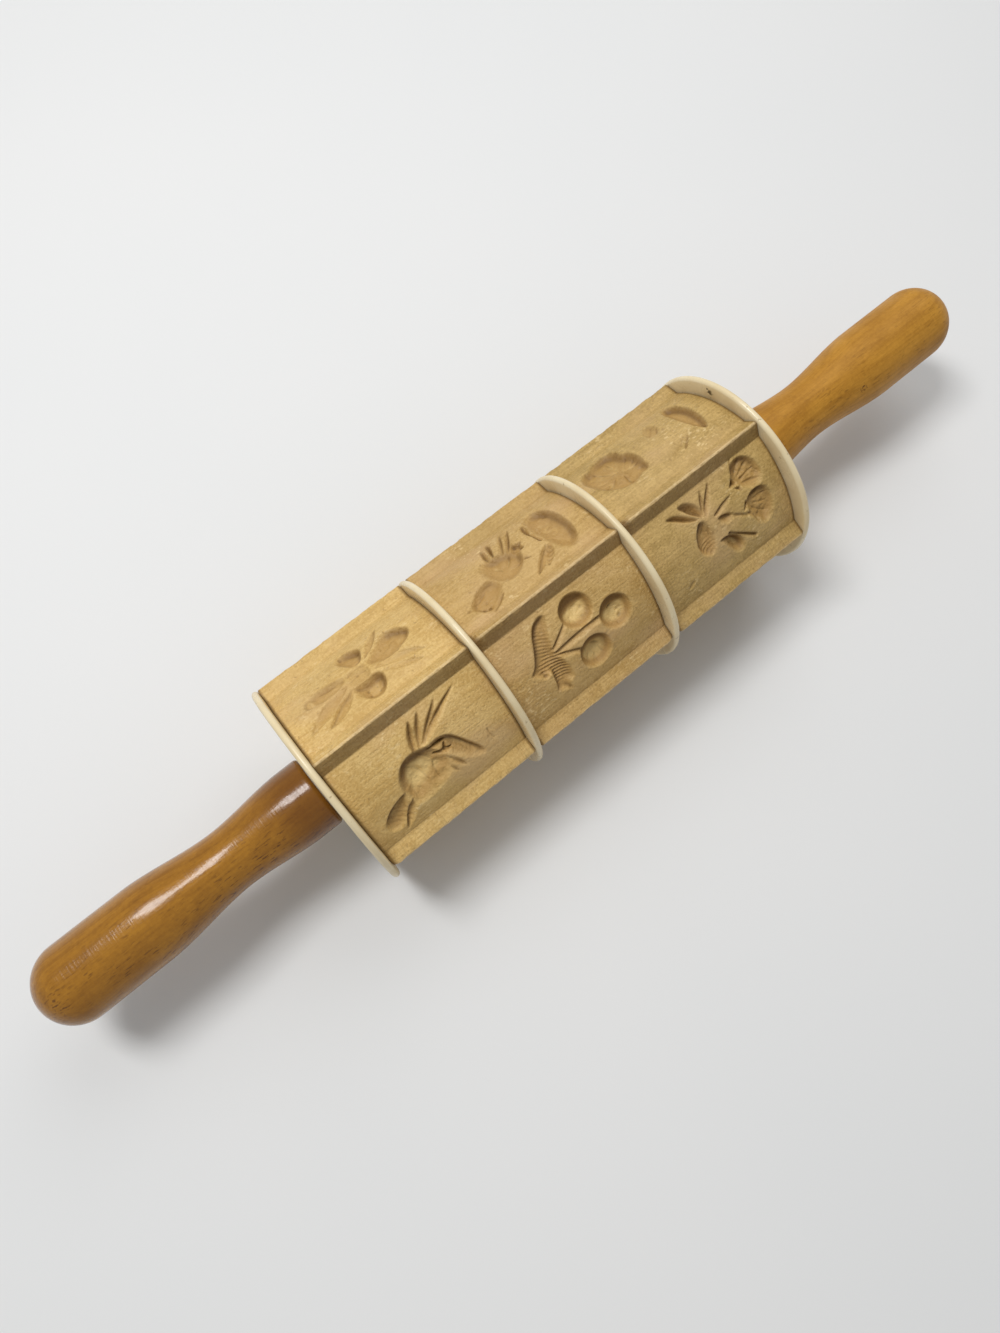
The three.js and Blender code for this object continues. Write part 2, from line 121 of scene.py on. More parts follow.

# Painted shade on the ridges: on the flank before the crest, and at the foot of the flank after it
RIDGE_SHADE = {0: (0.0, 0.5), 4: (0.8, 0.1)}
RIDGE_SHADE_ELSEWHERE = (0.25, 0.5)
RIDGE_SHADE_FALL = 1.5
SMOOTH_RIDGE = 0

# Carving depths in millimetres
BOWL = 4.0
OVAL = 3.0
LEAF = 2.0
SPIKE = 1.5
STEM = 1.1
FAINT = 0.5

# How the gouge and the knife cut: depths at which marks are full, and sizes of the marks, in millimetres
BOWL_LEAN_LIMITS = (0.15, 1.6)
STEEP_WALL_SHARE = 0.75
HATCH_FULL_DEPTH = 0.8
GOUGE_FULL_DEPTH = 2.5
GOUGE_WAVE = 2.3
GOUGE_RIPPLE = 1.0
GOUGE_RIPPLE_SHARE = 0.4

# Turned handles, in millimetres from their inner end
HANDLE_COLLAR_RADIUS = 12.7
HANDLE_COLLAR_LENGTH = 8.0
HANDLE_WAIST_RADIUS = 10.5
HANDLE_WAIST_AT = 35.0
HANDLE_GRIP_RADIUS = 13.4
HANDLE_GRIP_AT = 67.0
HANDLE_NOSE_LENGTH = 12.5
HANDLE_EDGE_ROUNDING = 1.5
HANDLE_STEPS_ROUND = 96
HANDLE_STEPS_ALONG = 120

# Discs, whose faces lie a little below the ends of the pegs, in millimetres
PEG_STAND_OUT = 0.06
END_DISC_HOLE_RADIUS = 7.2
DISC_STEPS_ROUND = 192
DISC_STEPS_ALONG = 40
DISC_FACE_SHARE = 0.2

# Turned pieces: sharper edges than this stay crisp, and nearer points than this, in metres, become one
TURNED_SHARP_ANGLE = math.radians(50)
WELD_DISTANCE = 1e-6

# Small marks on the right handle and the right end disc, in metres
HANDLE_MARK = (0.1451, -0.0101, 0.0082)
END_DISC_NICK = (0.0885, 0.0172, 0.0296)
MARK_RADIUS = 0.0016

# Floor and lamps, in metres and watts, and the light of the room
FLOOR_REACH = 1.2
LAMPS = {
    "window_lamp": {"place": (0.50, 0.38, 0.76), "size": (0.8, 0.7), "power": 2.6},
    "strip_lamp": {"place": (-0.20, 0.31, 0.92), "size": (0.22, 0.36), "power": 5.6},
}
FILL_LIGHT = 0.36
BACKDROP_LIGHT = 0.55

# View of the photo: where the camera stands, in millimetres, and which way it looks
CAMERA_PLACE = (-78.5, -75.4, 306.2)
CAMERA_FORWARD = (0.182, 0.220, -0.958)
CAMERA_RIGHT = (0.772, -0.636, 0.0)
CAMERA_CLIP_START = 10.0
PHOTO_HEIGHT = 1333
FOCAL_PIXELS = 950
SENSOR = 36.0


# Profile of a carved block

HALF_PANEL_ANGLE = math.pi / PANEL_COUNT
PANEL_ARC_CENTRE = PANEL_MIDDLE_RADIUS - PANEL_CROWN_RADIUS
PANEL_HALF_ARC = HALF_PANEL_ANGLE + math.asin(
    (PANEL_ARC_CENTRE * math.sin(HALF_PANEL_ANGLE) - RIDGE_BASE_WIDTH / 2) / PANEL_CROWN_RADIUS
)
RIDGE_CREST_RADIUS = (
    PANEL_ARC_CENTRE * math.cos(HALF_PANEL_ANGLE)
    + PANEL_CROWN_RADIUS * math.cos(PANEL_HALF_ARC - HALF_PANEL_ANGLE)
    + RIDGE_HEIGHT
)
PANEL_HALF_WIDTH = PANEL_CROWN_RADIUS * PANEL_HALF_ARC


def panel_angle(panel):
    """Angle of a panel's middle around the pin, from straight up towards +Y."""
    return FIRST_RIDGE_ANGLE + (2 * panel + 1) * HALF_PANEL_ANGLE


def to_section(across, out, angle):
    """Y and Z of a place given across and out from the pin at an angle."""
    y = across * math.cos(angle) + out * math.sin(angle)
    z = out * math.cos(angle) - across * math.sin(angle)
    return np.array([y, z])


def on_crown(arc, angle):
    """Y and Z of a place on the crown of the panel at an angle."""
    across = PANEL_CROWN_RADIUS * math.sin(arc)
    out = PANEL_ARC_CENTRE + PANEL_CROWN_RADIUS * math.cos(arc)
    return to_section(across, out, angle)


# Carving

def round_floor(share):
    return np.sqrt(np.clip(1 - share * share, 0, 1))


def vee_floor(share):
    return np.clip(1 - share, 0, 1)


def leaning(place, lean):
    """Share of the way from a hollow's deepest line to its edges, with that line moved to one side."""
    return np.where(place > lean, (place - lean) / (1 - lean), (lean - place) / (1 + lean))


def heading(angle):
    """One millimetre along and around the pin in a direction."""
    return np.array([math.cos(math.radians(angle)), math.sin(math.radians(angle))])


def blurred(field, passes):
    """The field with its detail smoothed away."""
    for _ in range(passes):
        padded = np.pad(field, 1, mode="edge")
        field = (
            padded[1:-1, 1:-1] * 2
            + padded[:-2, 1:-1] + padded[2:, 1:-1] + padded[1:-1, :-2] + padded[1:-1, 2:]
        ) / 6
    return field


class Carving:
    """Depth of the hollows over one panel, in millimetres, at u along the pin and v around it."""

    def __init__(self, u, v, seed):
        self.u, self.v = np.meshgrid(u, v)
        self.depth = np.zeros_like(self.u)
        self.cut = self.depth
        self.marks = self.depth
        self.chance = np.random.default_rng(seed)

    def deepen(self, cut):
        self.depth = np.maximum(self.depth, cut)
        self.cut = np.maximum(self.cut, cut)

    def turned_about(self, u, v, angle):
        """Distances along and across a direction, from a place."""
        turn = math.radians(angle)
        du = self.u - u
        dv = self.v - v
        along = du * math.cos(turn) + dv * math.sin(turn)
        across = dv * math.cos(turn) - du * math.sin(turn)
        return along, across

    def nearness(self, u, v, reach):
        """One at a place, falling to nothing at a reach from it."""
        return np.clip(1 - ((self.u - u) ** 2 + (self.v - v) ** 2) / reach ** 2, 0, 1)

    def bowl(self, u, v, length, width=None, angle=0, depth=BOWL, wall=0.6, tilt=(0, 0)):
        """An oval hollow. Tilt makes its floor deeper towards one side."""
        along, across = self.turned_about(u, v, angle)
        q = (along / (length / 2)) ** 2 + (across / ((width or length) / 2)) ** 2
        lean = 1 + (tilt[0] * (self.u - u) + tilt[1] * (self.v - v)) / (length / 2)
        self.deepen(depth * np.clip(1 - q, 0, 1) ** wall * np.clip(lean, *BOWL_LEAN_LIMITS))

    def from_edge(self, a, b):
        """Share along the edge from a to b of its place nearest to each place, and the way from there."""
        run = b - a
        du = self.u - a[0]
        dv = self.v - a[1]
        share = np.clip((du * run[0] + dv * run[1]) / (run @ run), 0, 1)
        return share, du - share * run[0], dv - share * run[1]

    def line(self, start, end, bend):
        """Share along a bowed line and signed distance to its left, for every place on the panel."""
        start = np.array(start, float)
        end = np.array(end, float)
        run = end - start
        knee = (start + end) / 2 + np.array([-run[1], run[0]]) * 2 * bend
        steps = LINE_STEPS if bend else 1
        share = np.linspace(0, 1, steps + 1)[:, None]
        points = (1 - share) ** 2 * start + 2 * share * (1 - share) * knee + share ** 2 * end
        nearest = np.full_like(self.u, np.inf)
        at = np.zeros_like(self.u)
        side = np.zeros_like(self.u)
        for step, (a, b) in enumerate(zip(points, points[1:])):
            part, off_u, off_v = self.from_edge(a, b)
            far = off_u ** 2 + off_v ** 2
            closer = far < nearest
            nearest = np.where(closer, far, nearest)
            at = np.where(closer, (step + part) / steps, at)
            side = np.where(closer, np.sign((b - a)[0] * off_v - (b - a)[1] * off_u), side)
        return at, side * np.sqrt(nearest)

    def leaf(
        self, start, end, width, depth=LEAF, bend=0.0, widest=0.5, lean=0.0, floor=round_floor, ribs=None
    ):
        """A pointed hollow along a bowed line. Lean moves its deepest line to the left or right edge.
        Ribs are a pitch, a slant and a share of the depth."""
        at, off = self.line(start, end, bend)
        power = math.log(0.5) / math.log(widest)
        form = np.sin(math.pi * at ** power)
        half = np.maximum(width / 2 * form, TINY)
        place = off / half
        cut = depth * floor(leaning(place, lean)) * np.sqrt(np.clip(form, 0, 1)) * (np.abs(place) < 1)
        if ribs:
            pitch, slant, share = ribs
            reach = at * math.dist(start, end) + slant * np.abs(off)
            cut = cut * (1 - share * (0.5 + 0.5 * np.cos(2 * math.pi * reach / pitch)))
        self.deepen(cut)

    def spike(self, start, end, width=2.0, depth=SPIKE, bend=0.0, lean=0.0):
        self.leaf(start, end, width, depth, bend, widest=0.4, lean=lean, floor=vee_floor)

    def stem(self, start, end, width=1.3, depth=STEM, bend=0.0, lean=0.0):
        """A groove of one width. Lean gives it one steep wall and one long slope."""
        _, off = self.line(start, end, bend)
        self.deepen(depth * vee_floor(leaning(off / (width / 2), lean)))

    def score(self, start, end, width, depth, bend=0.0):
        """A pointed knife cut, added to what is cut already."""
        at, off = self.line(start, end, bend)
        half = np.maximum(width / 2 * np.sin(math.pi * at), TINY)
        self.depth = self.depth + depth * vee_floor(np.abs(off) / half)

    def chip(self, a, b, c, depth=LEAF):
        """A three-sided chip, deepest at its middle."""
        a, b, c = (np.array(corner, float) for corner in (a, b, c))
        area = (b[0] - a[0]) * (c[1] - a[1]) - (c[0] - a[0]) * (b[1] - a[1])
        share_b = ((self.u - a[0]) * (c[1] - a[1]) - (c[0] - a[0]) * (self.v - a[1])) / area
        share_c = ((b[0] - a[0]) * (self.v - a[1]) - (self.u - a[0]) * (b[1] - a[1])) / area
        least = np.minimum(np.minimum(share_b, share_c), 1 - share_b - share_c)
        self.deepen(depth * np.clip(3 * least, 0, 1))

    def pits(self, places, diameter=1.3, depth=0.9):
        """Small punched holes, added to what is cut already."""
        for u, v in places:
            self.depth = self.depth + depth * self.nearness(u, v, diameter / 2)

    def boss(self, u, v, diameter, height):
        """A rounded rise left standing in a hollow."""
        self.depth = np.maximum(self.depth - height * self.nearness(u, v, diameter / 2), 0)

    def rays(self, u, v, near, far, angles, width, depth):
        """Knife cuts that spread from a place."""
        for angle in angles:
            way = heading(angle)
            self.score(np.array([u, v]) + way * near, np.array([u, v]) + way * far, width, depth)

    def hatch(self, u, v, reach, pitch, angle, depth):
        """Fine parallel cuts inside the hollows round a place."""
        along, _ = self.turned_about(0, 0, angle)
        near = self.nearness(u, v, reach) ** 0.5
        inside = np.clip(self.depth / HATCH_FULL_DEPTH, 0, 1)
        wave = 0.5 + 0.5 * np.cos(2 * math.pi * along / pitch)
        self.depth = self.depth + depth * near * inside * wave

    def hollow(self, outline, depth, wall=2.0, steep=(0, 0), cuts=3):
        """A hollow inside a closed outline, its wall short on the steep side and long on the other."""
        corners = np.array(outline, float)
        for _ in range(cuts):
            after = np.roll(corners, -1, axis=0)
            pairs = [corners * 0.75 + after * 0.25, corners * 0.25 + after * 0.75]
            corners = np.stack(pairs, axis=1).reshape(-1, 2)
        share = np.full_like(self.u, np.inf)
        inside = np.zeros(self.u.shape, bool)
        for a, b in zip(corners, np.roll(corners, -1, axis=0)):
            _, off_u, off_v = self.from_edge(a, b)
            far = np.hypot(off_u, off_v)
            facing = -(off_u * steep[0] + off_v * steep[1]) / np.maximum(far, TINY)
            share = np.minimum(share, far / (wall * (1 - STEEP_WALL_SHARE * facing)))
            if a[1] != b[1]:
                crossing = (b[0] - a[0]) * (self.v - a[1]) / (b[1] - a[1]) + a[0]
                inside ^= ((a[1] > self.v) != (b[1] > self.v)) & (self.u < crossing)
        self.deepen(depth * np.sin(np.clip(share, 0, 1) * math.pi / 2) * inside)

    def swells(self, cell):
        """Smooth random swells, about one cell apart."""
        u = (self.u - self.u.min()) / cell
        v = (self.v - self.v.min()) / cell
        i = u.astype(int)
        j = v.astype(int)
        table = self.chance.uniform(-1, 1, (j.max() + 2, i.max() + 2))
        s = (u - i) ** 2 * (3 - 2 * (u - i))
        t = (v - j) ** 2 * (3 - 2 * (v - j))
        near = table[j, i] * (1 - s) + table[j, i + 1] * s
        far = table[j + 1, i] * (1 - s) + table[j + 1, i + 1] * s
        return near * (1 - t) + far * t

    def tool_marks(self, amount=0.25):
        """Uneven floors, left by the gouge."""
        inside = np.clip(self.depth / GOUGE_FULL_DEPTH, 0, 1)
        waves = self.swells(GOUGE_WAVE) + GOUGE_RIPPLE_SHARE * self.swells(GOUGE_RIPPLE)
        self.marks = amount * waves * inside
        self.depth = np.maximum(self.depth + self.marks, 0)

    def fan(self, u, v, reach, length, width, angles, depth=LEAF, **shape):
        """Leaves set round a place, pointing away from it."""
        for angle in angles:
            way = heading(angle)
            start = np.array([u, v]) + way * (reach - length / 2)
            self.leaf(start, start + way * length, width, depth, **shape)


# Motifs that face up

def bell_spray(cut):
    left_bud = [
        (-4, 0), (-9, 1.6), (-14, 2.6), (-18, 2),
        (-21.5, -0.6), (-19, -3.2), (-12, -4.4), (-6, -3.4),
    ]
    cut.hollow(left_bud, 1.2, 2.2)
    cut.leaf((-5, -4), (-24, -11.8), 4.6, 1.0, bend=-0.03)
    cut.leaf((-5, -6.4), (-18.2, -13.8), 3.6, 1.2, bend=0.04, lean=-0.5)
    cut.leaf((3, -5.4), (20.5, -11.4), 3.8, 0.9, bend=0.06)
    cut.leaf((4.5, -7.6), (18, -13.6), 2.8, 0.8)
    cut.leaf((2.6, 0), (12.6, 11.6), 2.6, 1.0, lean=-0.5)
    cut.spike((6, 2), (12, 9.4), 1.6, 0.7)
    right_bell = [
        (2, -1.2), (5, 1.2), (8, 3.8), (11.5, 6.2), (14.5, 6.2), (17.6, 4),
        (20.4, 0.6), (19, -2.8), (15.5, -4.6), (12, -5.8), (7, -5.6), (3.5, -3.6),
    ]
    cut.hollow(right_bell, 2.2, 3.0, (0.6, 0.35))
    upper_bell = [
        (-1.5, 0.5), (-3.4, 4), (-5.2, 7.4), (-4.6, 10), (-1, 11),
        (2.8, 9.6), (4.6, 6.6), (3.4, 2.8), (1.8, 0.5),
    ]
    cut.hollow(upper_bell, 2.2, 2.5, (0.6, 0.3))
    lower_bell = [
        (-6.4, -6), (-5.4, -11.4), (-2.8, -14.8), (1.2, -15.2),
        (4, -12.8), (5.4, -8.2), (2.6, -6), (-2, -7),
    ]
    cut.hollow(lower_bell, 2.4, 2.6, (0.6, 0.2))
    crown = [(-6, 1.2), (-5.9, -3), (-5.4, -7.2), (2.2, -7.2), (2.8, -3), (2.8, 1), (-1.6, 0.2)]
    cut.hollow(crown, 0.9, 2.6, (0.3, -0.3))
    cut.bowl(-18, -1, 5.4, 4.2, -8, 1.3, wall=0.7)
    cut.boss(-18, -1, 3.4, 0.9)
    cut.tool_marks(0.45)
    cut.score((-5.6, -1.6), (1.6, -1.2), 1.3, 0.35, bend=0.16)
    cut.score((-5.8, -4.4), (2.4, -3.6), 1.3, 0.35, bend=0.16)
    cut.score((-1.8, -0.6), (-1.6, -5.6), 1.3, 0.3)
    cut.score((-8, -0.6), (-15, 0.8), 1.4, 0.35)
    cut.score((8, -1), (15, 2.6), 1.6, 0.35)
    cut.pits([(-2.1, -9.8), (-2.3, -12), (1, -9.8), (1, -11.8)], 1.3, 0.5)
    cut.pits([(15.5, -2.5), (12.8, -4.5), (-2.7, 9.8), (0.7, 3.5)], 1.4, 0.5)


def spiked_blossom(cut):
    cut.spike((-3, 4.4), (1.3, 15), 3.6, 1.7, lean=0.2)
    cut.spike((-1.2, 4.6), (5.2, 15.6), 3.4, 1.7, lean=0.2)
    cut.spike((0, 5.2), (12, 15.8), 2.8, 1.6, bend=-0.02, lean=0.3)
    cut.spike((0.4, 5.2), (19.2, 15.2), 2.8, 1.6, bend=0.02, lean=0.3)
    cut.spike((4, -2), (8.6, -10), 2.6, 1.2)
    cut.spike((2.6, -4), (5.4, -10), 2.2, 1.0)
    body = [
        (-1.6, 6), (-6, 6.2), (-9.6, 4.4), (-12, 1.2), (-12.9, -2.4), (-12, -7), (-11.4, -10.6),
        (-6, -10.8), (0, -9.8), (4.2, -7.6), (6, -4.4), (5, 0), (3, 4.2),
    ]
    cut.hollow(body, 3.7, 6.0, (-0.5, 0.78))
    leaf = [
        (0, 4.9), (8, 5), (12, -1.4), (15.9, -9), (14.8, -11.2),
        (10.6, -8.6), (7.2, -5), (4, -1.6), (1.4, 2),
    ]
    cut.hollow(leaf, 2.6, 4.2, (0.75, 0.5), cuts=2)
    bud = [
        (-10.8, -2.8), (-16, -3.6), (-20.4, -5.6), (-23.6, -9.2),
        (-22.8, -12.2), (-20, -13.8), (-16.6, -12.8), (-13.4, -9.4),
    ]
    cut.hollow(bud, 3.1, 4.6, (-0.25, 0.85))
    cut.spike((-10.5, -6.6), (-18.2, -15.8), 3.4, 1.8, lean=-0.5)
    cut.tool_marks(0.55)
    cut.hatch(11.5, -5, 5.5, 1.3, 25, 0.3)
    cut.hatch(-17.5, -9.5, 5, 1.6, 60, 0.3)
    cut.score((0.6, 3.3), (7.4, 2.5), 1.7, 1.8)
    cut.score((1.2, 0.6), (7.8, -1.3), 2.1, 2.0)
    cut.score((5, -1), (6.3, 2), 1.6, 1.6)
    cut.score((-3, 4), (0.4, -1.4), 1.8, 0.6, bend=0.1)
    cut.score((-8.6, 2.6), (-4, -7), 2.6, 0.6, bend=0.15)
    cut.score((0.6, -1.6), (-0.6, -8.4), 1.8, 0.6, bend=-0.1)
    cut.stem((19.3, -3.6), (19.9, -7.6), 0.9, 0.5, bend=-0.1)


def rose_buds(cut):
    bloom = [
        (-8, 4.8), (-10.8, 1.6), (-11.7, -3), (-10.4, -8), (-6, -11.2),
        (-1, -10.4), (2.6, -7), (3.8, -2), (1, 1.4), (-3, 2.4),
    ]
    cut.hollow(bloom, 2.2, 3.4, (0.6, 0.1))
    left_petal = [(-7.2, 3.4), (-5.4, 9.4), (-4.2, 10.6), (-3.8, 6), (-5, -1)]
    cut.hollow(left_petal, 1.7, 1.7, (-0.4, 0.2), cuts=2)
    right_petal = [(-3.9, 7.4), (-2.2, 11.4), (-1, 9), (-3, 3), (-4.8, -1.4)]
    cut.hollow(right_petal, 1.9, 1.5, (0.4, 0.2), cuts=2)
    cut.spike((-3.2, -3), (4.3, 11.6), 2.2, 1.4, lean=-0.3)
    cut.spike((-1.8, -3), (7.6, 11.2), 2.4, 1.6, lean=-0.4)
    crumbs = [(0.4, 0.6), (3, 2.6), (4, 1), (6.8, 0.6), (5, -1), (6, -3), (3, -3.4), (0.6, -2.6)]
    cut.hollow(crumbs, 1.5, 1.4, (0.4, 0.1), cuts=2)
    cut.spike((0, -5.4), (5, -8.4), 1.6, 1.0)
    bud = [
        (-9.6, -4.2), (-15, -5.2), (-19.4, -7.4), (-22.2, -11), (-20, -14.2),
        (-16.4, -16.2), (-13.4, -15.2), (-10, -11.8), (-7.4, -9.2),
    ]
    cut.hollow(bud, 1.7, 2.4, (-0.2, 0.4))
    cut.spike((-19.5, -10.6), (-24.2, -10.6), 1.8, 0.8)
    cut.leaf((-10, -12.6), (-16.8, -16.5), 2.2, 1.4, bend=-0.08)
    oval = [
        (13, 9.4), (17.6, 10.2), (20.6, 6.4), (21.9, 0), (21.9, -7.4), (20.2, -13.2),
        (16.5, -15.4), (13.2, -13), (11.2, -8), (10.2, -1), (10.8, 5.4),
    ]
    cut.hollow(oval, 2.3, 3.4, (0.6, 0.3))
    sepal = [
        (8.8, 2), (9.2, 5.6), (11, 7.6), (11.6, 4), (10.6, 1),
        (11.2, -2), (12.4, -5), (10, -6), (9.6, -1.4),
    ]
    cut.hollow(sepal, 1.7, 1.4, (-0.3, 0.2), cuts=2)
    cut.leaf((11.5, -6.8), (1.2, -15.6), 2.6, 1.3, bend=0.03, lean=-0.4)
    cut.leaf((12.8, -7.6), (6, -15.2), 3.6, 1.6, bend=-0.04, lean=-0.4, ribs=(1.7, 0.8, 0.3))
    cut.tool_marks(0.3)
    cut.rays(10, -3, 2.5, 8.5, (-38, -14, 8, 28, 46), 1.3, 0.25)
    cut.score((-6.5, -0.6), (-4.6, -4.4), 1.6, 0.7, bend=0.1)
    cut.score((-3.2, -4.2), (0.6, 0), 1.6, 0.6)
    cut.score((-3, -5.2), (1.6, -6.4), 1.5, 0.4)
    cut.score((-19.8, -11), (-15.4, -12.8), 1.6, 0.6, bend=-0.3)
    cut.score((-14, -7), (-18.6, -9.4), 1.4, 0.5)
    cut.pits([(-18.4, -13), (-16.6, -13.8), (-16.4, -11), (2.4, -0.6), (4.4, -2), (3.4, 0.8)], 1.7, 0.45)


def berry_sprig(cut):
    hand = [
        (-6, 15.2), (-10, 14.6), (-12.8, 11.4), (-15, 6.6), (-17.4, 2.4), (-20.4, 0.5), (-17.6, -1.6),
        (-15.4, -4), (-13.4, -2), (-13.8, -6), (-14.2, -8.6), (-15, -10.4), (-12, -11.2), (-9, -13.4),
        (-9.4, -9.6), (-7.2, -9.4), (-6.7, -5), (-8.2, 0), (-9.2, 3.6), (-7.8, 8), (-5.4, 13),
    ]
    cut.hollow(hand, 1.9, 1.9, (-0.4, 0.35), cuts=2)
    cut.stem((-10, 2.6), (-1, 8.2), 1.9, 1.2, lean=0.5)
    cut.stem((-10, 1.2), (10, 2.0), 2.6, 1.3, bend=0.02, lean=0.6)
    cut.stem((-10, 0.9), (-0.6, -3.2), 2.0, 1.2, bend=0.03, lean=0.5)
    cut.tool_marks(0.3)
    cut.hatch(-11.4, -2.4, 6.4, 1.15, 78, 0.75)
    cut.hatch(-12.2, 7, 6, 1.15, 62, 0.5)
    for u, v in ((3.6, 9.2), (14.7, 0.6), (2.9, -6.5)):
        cut.bowl(u, v, 11.6, 11.4, 0, 4.3, wall=0.58, tilt=(0.05, 0.12))
        cut.boss(u + 1.4, v - 1.8, 3.6, 0.35)
        cut.boss(u - 2.0, v - 0.6, 3.0, 0.3)
        for turn in cut.chance.uniform(0, 2 * math.pi, 12):
            middle = np.array([u + 2.6 * math.cos(turn), v - 1.4 + 2.4 * math.sin(turn)])
            run = np.array([math.cos(turn * 3), math.sin(turn * 3)]) * 1.7
            cut.score(middle - run, middle + run, 1.5, 0.2)
    cut.score((13.6, 1.2), (16.2, 2.2), 1.2, 0.7)


def open_flower(cut):
    rim = [
        (-4, -3.4), (-5, -5.5), (-8, -8.5), (-12, -10.4), (-16.4, -9.6), (-20.6, -7),
        (-23.4, -2.4), (-24.4, 3), (-23.2, 7.2), (-20, 9.6), (-18.6, 8.6), (-16.8, 10.8),
        (-13.2, 12), (-9.2, 11.8), (-6.4, 8.6), (-6.6, 5), (-5, 4), (-4, 0.6),
    ]
    cut.hollow(rim, 2.3, 2.7, (0.15, 0.4), cuts=2)
    cut.bowl(-7.8, -5, 6, 7.4, 30, 2.3, wall=0.55)
    cut.boss(-13.4, -2.4, 7.4, 0.9)
    faint_bud = [(3, 2), (3.8, 7), (6.4, 9.6), (9.6, 8.4), (9.4, 3), (6.4, 0.8)]
    cut.hollow(faint_bud, 0.8, 1.6)
    cut.leaf((1, -12.6), (12.2, -7.4), 2.6, FAINT, bend=0.05, floor=vee_floor)
    cut.spike((7, -11.9), (12.6, -7), 1.5, 0.9)
    cut.spike((6, -10.2), (11, -6.8), 1.3, 0.7)
    cut.tool_marks(0.2)
    bean = [
        (15.4, 11), (18, 12.6), (20.6, 10.4), (21.8, 5), (21.6, -1),
        (20.9, -6.4), (18.8, -10.8), (16.6, -8), (15, -2), (14.6, 6),
    ]
    cut.hollow(bean, 2.2, 2.3, (0.4, 0.2))
    cut.score((-13, 0.6), (-18, 8.4), 1.8, 0.9)
    cut.score((-12, 0.6), (-11.4, 10), 1.8, 0.7)
    cut.score((-15, -2), (-21, -4.6), 1.8, 0.8)
    cut.score((-12.6, -3), (-12.4, -9), 1.8, 0.8)
    cut.score((-11, -0.6), (-5.4, -2), 1.8, 0.7)
    cut.rays(-13.4, -2.4, 2.5, 10, range(20, 200, 22), 1.4, 0.3)
    cut.score((4.4, 3), (8.8, 8), 1.3, 0.35)
    cut.score((6.8, 2), (9.2, 5.6), 1.3, 0.35)
    cut.pits([(-13.8, -3), (-12.2, -1.4), (-14.6, 0.6), (-12.8, 1.2), (-11, -0.4), (-10.6, -2.8)], 1.7, 0.4)


def carnation(cut):
    upper_leaf = [(-10, 15.2), (-6.2, 15), (-3.6, 12.8), (-2.4, 9.6), (-2.8, 6.4), (-5.4, 8.6), (-7.8, 11.6)]
    cut.hollow(upper_leaf, 2.6, 2.2, (-0.4, -0.5), cuts=1)
    lower_leaf = [(-15.8, 14.2), (-11.4, 13.7), (-8, 10.8), (-4, 6.8), (-8.6, 8.4), (-12.2, 11.2)]
    cut.hollow(lower_leaf, 2.2, 1.6, (-0.2, -0.4), cuts=1)
    cut.spike((-3, 6.2), (0.6, 15.6), 2.2, 1.3, lean=0.3)
    cut.spike((-2.6, 6.2), (4.8, 16), 2.3, 1.6, lean=0.4)
    cone = [
        (-5, 7.4), (-8, 4.6), (-9.8, 1), (-9.8, -2.6), (-8.4, -5),
        (-5.4, -6.4), (-3.6, -4.4), (-2.6, -0.4), (-2.6, 4),
    ]
    cut.hollow(cone, 2.2, 2.2, (-0.5, 0.3))
    cut.leaf((-0.2, 5), (9, 7.6), 2.2, 1.3, bend=-0.04, lean=0.5, floor=vee_floor)
    cut.spike((0, 5.1), (6, 7), 1.9, 1.5, bend=-0.06)
    sepal = [(0, 3.7), (3.2, 4), (7, 2.0), (6, 0), (2.2, 0)]
    cut.hollow(sepal, 1.9, 1.9, (0.2, 0.7), cuts=2)
    cut.stem((6, 1.4), (11.6, -2.4), 1.4, 0.9, lean=0.4)
    upper_bloom = [
        (11, 10), (12.6, 14), (15.4, 16.2), (18.8, 16), (21.8, 13.6),
        (23.2, 9.4), (22.4, 5.2), (18.4, 3.6), (13.8, 6.2),
    ]
    cut.hollow(upper_bloom, 1.9, 2.2, (0.3, 0.5))
    lower_bloom = [
        (11.4, 0), (13.4, 3.4), (17.6, 4.6), (21.6, 3), (22.8, -2),
        (21, -7.4), (17.2, -10), (14.2, -7.4), (12.6, -3.6),
    ]
    cut.hollow(lower_bloom, 1.9, 2.2, (0.3, 0.5))
    cut.chip((9.2, 9.2), (12.2, 12.4), (14, 8), 3.0)
    cut.chip((10, 9), (14.4, 7.6), (13.6, 5.4), 1.6)
    cut.chip((10.2, -0.6), (12.6, 3), (14.4, 0.4), 3.0)
    cut.chip((10.2, -1), (14.4, -1.2), (13.6, -5), 1.8)
    cup = [
        (-2.4, -3.2), (1.4, -3.2), (4.4, -5), (7, -8), (7.4, -11),
        (5.2, -13), (2.6, -11.6), (0.6, -8.4), (-0.6, -5.4),
    ]
    cut.hollow(cup, 3.2, 3.0, (0.4, 0.55))
    cut.stem((2.6, -3.5), (11.6, -10.6), 1.6, 1.4, lean=0.3)
    cut.tool_marks(0.5)
    cut.hatch(-6.4, -3.4, 4.0, 1.1, 115, 0.45)
    cut.rays(11.6, 8.6, 3.5, 10, (-14, 8, 28, 46, 68), 1.4, 0.65)
    cut.rays(12, 1, 3.5, 9.6, (-72, -46, -24, -4, 16), 1.4, 0.65)
    cut.pits([(15.4, 12.4), (17.6, 11), (18.6, 8.4), (19.2, 12.6), (16, 9.2)], 1.6, 0.4)
    cut.pits([(15.4, -2), (17.6, -0.4), (18, -3.6), (16, -5.2), (19.4, -1.6)], 1.6, 0.4)
    cut.score((-3.4, 6.8), (-6.2, 1), 1.4, 0.5)
    cut.score((-2.8, 6.4), (-4, 0), 1.4, 0.5)
    cut.bowl(-17, -10.4, 3.6, 1.6, 30, FAINT)


# Motifs of the panels that the photo doesn't show, from the same traditional stock

